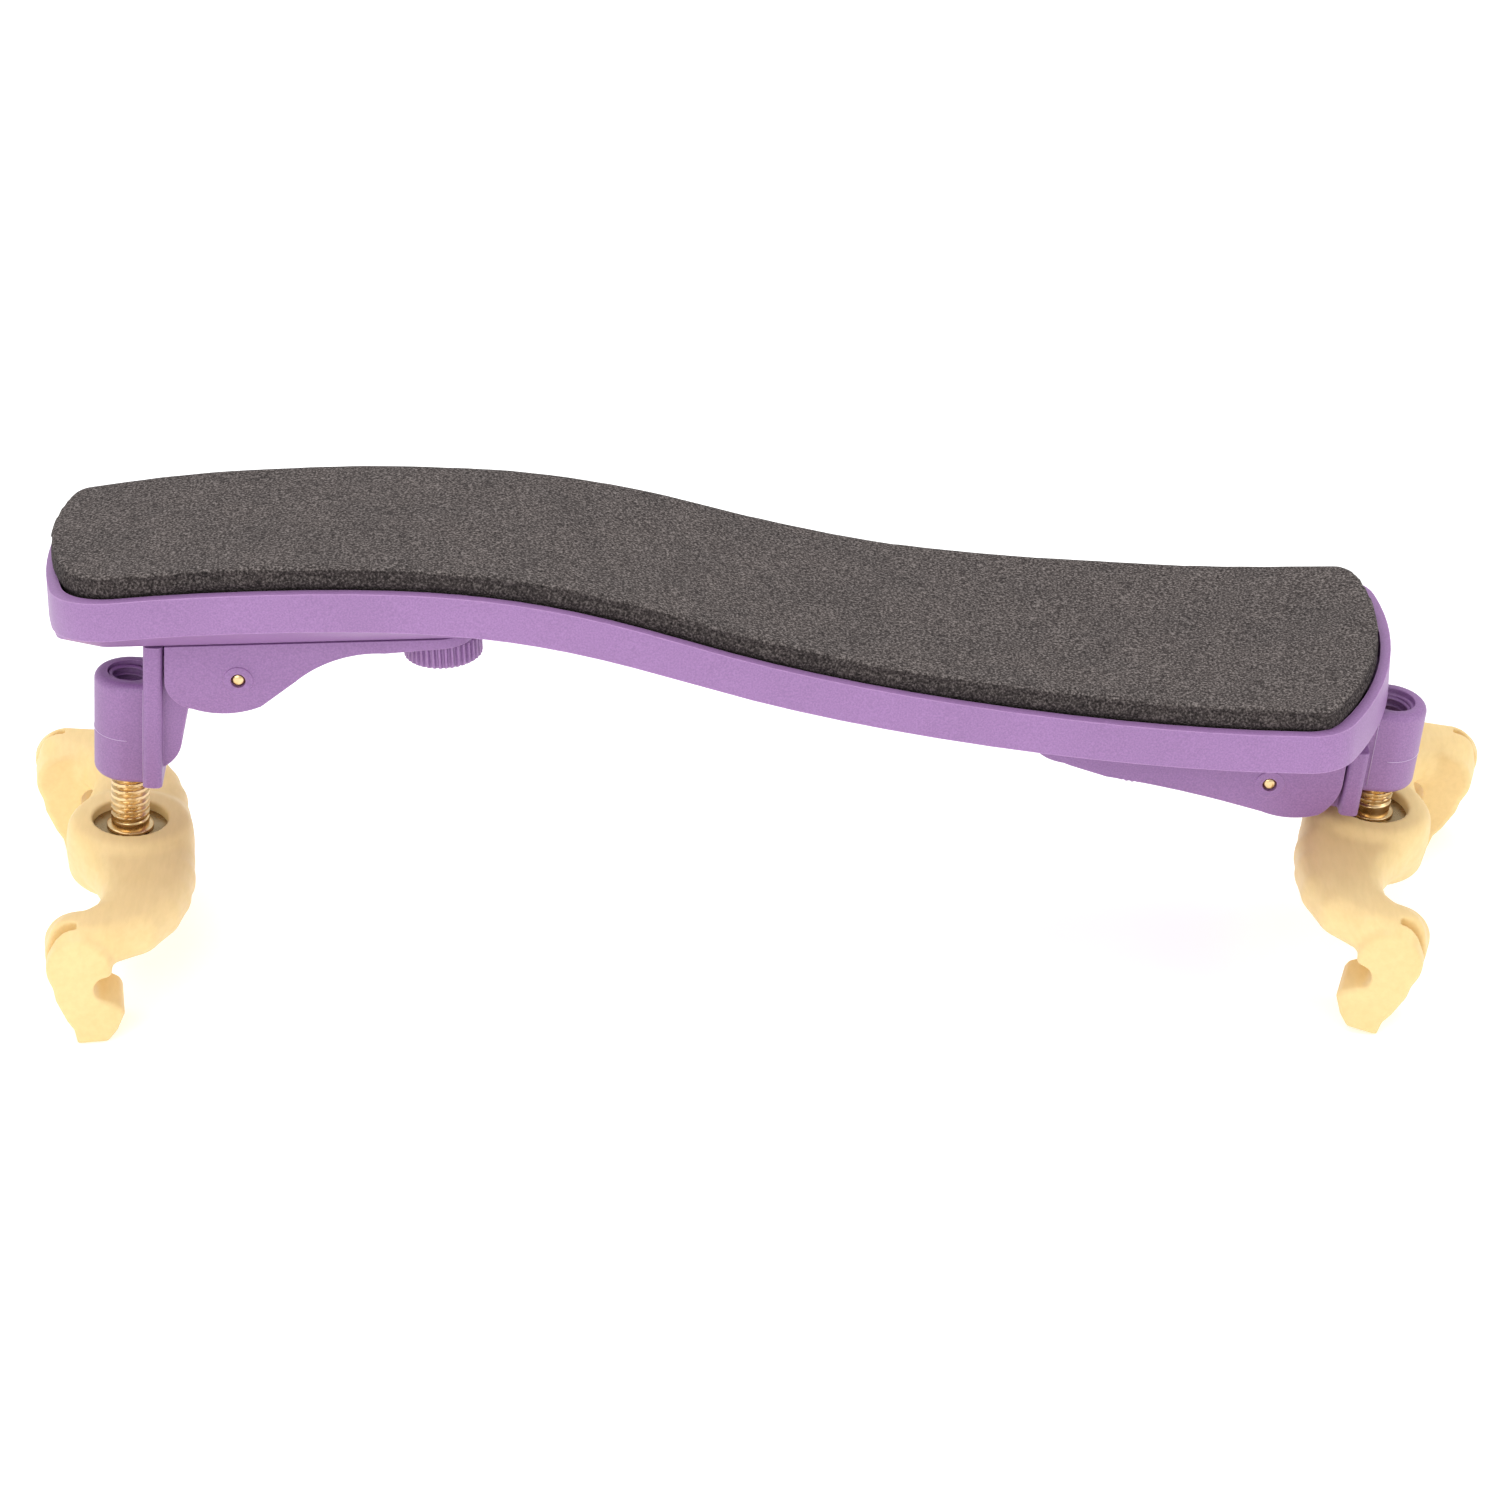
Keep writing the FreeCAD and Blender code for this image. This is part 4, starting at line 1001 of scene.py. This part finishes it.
def bore_thread(side, material):
    """The first turns of the thread inside the post's tube, in step with the fork's screw."""
    top = tube_span(side)[1]
    rise = RIDGE_TURNS * SCREW_PITCH
    steps = RIDGE_TURNS * SMALL_SIDES
    heights = [top - RIDGE_DEPTH - rise + rise * i / steps for i in range(steps + 1)]
    centres = [Vector((0, 0, height)) for height in heights]
    outward = [facing_out(2 * math.pi * (height / SCREW_PITCH - 0.5)) for height in heights]
    upward = [Vector((0, 0, 1))] * len(centres)
    profile = (
        (RIDGE_OUT, -RIDGE_FOOT_HALF),
        (RIDGE_OUT, RIDGE_FOOT_HALF),
        (RIDGE_IN, RIDGE_CREST_HALF),
        (RIDGE_IN, -RIDGE_CREST_HALF),
    )
    swept(f"{side}_bore_thread", centres, outward, upward, profile, material, side)


def pin_bearing(side):
    """Direction from the screw's axis to the pivot pin, radians in the fork's frame."""
    inward = fork_matrix(side).inverted() @ Vector(joint_named(f"{side}_fold")["pos_m"])
    return math.atan2(inward.y, inward.x)


def parting_line(side, material):
    """The thin raised line that the mould leaves round the outer half of the tube."""
    low, high = tube_span(side)
    height = low + (high - low) * PARTING_SHARE
    first = pin_bearing(side) + math.pi / 2
    outward = [facing_out(first + math.pi * i / FLASH_STEPS) for i in range(FLASH_STEPS + 1)]
    centres = [Vector((0, 0, height))] * len(outward)
    upward = [Vector((0, 0, 1))] * len(outward)
    root = TUBE_R - FLASH_ROOT
    profile = ((root, -FLASH), (root, FLASH), (TUBE_R + FLASH * FLASH_CREST, 0.0))
    swept(f"{side}_parting_line", centres, outward, upward, profile, material, side)


def corner_flash(side, material):
    """Thin upright flash on both sides of the post, where the tube runs into the plate."""
    low, high = tube_span(side)
    toward = facing_out(pin_bearing(side))
    profile = ((-FLASH_ROOT, -FLASH), (-FLASH_ROOT, FLASH), (FLASH, 0.0))
    for name, sign in (("near", -1), ("far", 1)):
        across = Vector((-toward.y, toward.x, 0)) * sign
        foot = toward * TUBE_RUN + across * TUBE_R
        centres = [foot + Vector((0, 0, height)) for height in (low + FLASH_STOP, high - FLASH_STOP)]
        swept(f"{side}_{name}_flash", centres, [across] * 2, [toward] * 2, profile, material, side)


# ---------------------------------------------------------------- studio

CAMERA_DISTANCE = 0.850
CAMERA_ELEVATION = 28.5
CAMERA_YAW = 0.45
CAMERA_TARGET = Vector((-0.001488, 0.001361, 0.0330))
LENS = 123.4
LIGHT_TARGET = Vector((0, 0, 0.03))
WORLD_STRENGTH = 0.80
FLOOR_HALF = 6.0
FLOOR_GLOW = 0.36

# Each softbox: name, place and size in metres, power in watts
SOFTBOXES = (
    ("top_softbox", (-0.25, 0.25, 1.1), (1.0, 0.8), 5.5),
    ("front_softbox", (-0.5, -1.1, 0.7), (0.9, 0.7), 5.6),
    ("right_softbox", (1.0, -0.3, 0.6), (0.6, 0.6), 2.5),
)


def camera():
    yaw = math.radians(CAMERA_YAW)
    tilt = math.radians(CAMERA_ELEVATION)
    ahead = Vector((math.sin(yaw) * math.cos(tilt), math.cos(yaw) * math.cos(tilt), -math.sin(tilt)))
    data = bpy.data.cameras.new("camera")
    data.lens = LENS
    data.sensor_width = 36.0
    data.clip_start = 0.01
    obj = bpy.data.objects.new("camera", data)
    obj.location = CAMERA_TARGET - ahead * CAMERA_DISTANCE
    obj.rotation_euler = ahead.to_track_quat("-Z", "Y").to_euler()
    bpy.context.scene.collection.objects.link(obj)
    bpy.context.scene.camera = obj


def softbox(name, place, size, power):
    data = bpy.data.lights.new(name, "AREA")
    data.shape = "RECTANGLE"
    data.size = size[0]
    data.size_y = size[1]
    data.energy = power
    obj = bpy.data.objects.new(name, data)
    obj.location = place
    obj.rotation_euler = (LIGHT_TARGET - Vector(place)).to_track_quat("-Z", "Y").to_euler()
    bpy.context.scene.collection.objects.link(obj)


def floor():
    corners = [(x * FLOOR_HALF, y * FLOOR_HALF, 0) for x, y in ((-1, -1), (1, -1), (1, 1), (-1, 1))]
    mesh = bpy.data.meshes.new("floor")
    mesh.from_pydata(corners, [], [(0, 1, 2, 3)])
    obj = bpy.data.objects.new("floor", mesh)
    bpy.context.scene.collection.objects.link(obj)
    material, _, shader = new_material("pale_floor", (0.90, 0.90, 0.90), 0.8)
    shader.inputs["Specular IOR Level"].default_value = 0.1
    shader.inputs["Emission Color"].default_value = (*WHITE, 1.0)
    shader.inputs["Emission Strength"].default_value = FLOOR_GLOW
    paint(obj, material)


def studio():
    floor()
    world = bpy.data.worlds.new("studio")
    world.use_nodes = True
    background = world.node_tree.nodes["Background"]
    background.inputs["Color"].default_value = (*WHITE, 1.0)
    background.inputs["Strength"].default_value = WORLD_STRENGTH
    bpy.context.scene.world = world
    for name, place, size, power in SOFTBOXES:
        softbox(name, place, size, power)
    bpy.context.scene.view_settings.view_transform = "Standard"


# ---------------------------------------------------------------- the whole rest

def paint_frame(brass_look, shaded_bush_look):
    """Materials for the CAD nodes that stay as they are."""
    paint(frame["nodes"]["pad_adhesive"], adhesive())
    white = nylon()
    for side in SIDES:
        paint(frame["nodes"][f"{side}_base_insert"], brass_look)
        paint(frame["nodes"][f"{side}_fork_insert"], shaded_bush_look)
        paint(frame["nodes"][f"{side}_slot_washer"], white)


def build():
    tray_look = purple_plastic("tray_purple")
    leg_look = purple_plastic("leg_purple", LEG_SHADE)
    flash_look, _, _ = new_material("flash_plastic", FLASH_PURPLE, 0.5)
    rubber_look = tan_rubber()
    brass_look = brass("turned_brass")
    # The bush's brass is darkened by BUSH_SHADE: painted shade and dark reflection in the hub's recess.
    paint_frame(brass_look, brass("recess_shaded_brass", BUSH_SHADE))
    tray = moulded_copy("base_tray", "tray_shell", TRAY_EDGE)
    stand_in(tray, "base_tray", "base", tray_look)
    foam_pad()
    for side in SIDES:
        bracket = moulded_copy(f"{side}_bracket", f"{side}_bracket_shell", BRACKET_EDGE)
        stand_in(bracket, f"{side}_bracket", f"{side}_bracket", leg_look)
        post = moulded_copy(f"{side}_post", f"{side}_post_shell", POST_EDGE)
        stand_in(post, f"{side}_post", f"{side}_post", leg_look)
        fork(side, rubber_look)
        fork_screw(side, brass_look)
        thumb_wheel(side, leg_look)
        thumb_stud(side, brass_look)
        pivot_pin(side, brass_look)
        bore_thread(side, leg_look)
        parting_line(side, flash_look)
        corner_flash(side, flash_look)


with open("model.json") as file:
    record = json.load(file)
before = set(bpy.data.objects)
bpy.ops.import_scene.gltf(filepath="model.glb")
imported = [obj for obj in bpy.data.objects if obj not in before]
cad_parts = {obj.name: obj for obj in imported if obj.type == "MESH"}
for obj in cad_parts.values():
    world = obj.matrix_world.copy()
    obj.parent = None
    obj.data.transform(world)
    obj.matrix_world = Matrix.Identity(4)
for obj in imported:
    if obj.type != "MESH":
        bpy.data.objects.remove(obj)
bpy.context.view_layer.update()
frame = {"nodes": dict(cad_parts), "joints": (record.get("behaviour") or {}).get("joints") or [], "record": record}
build()
studio()
camera()
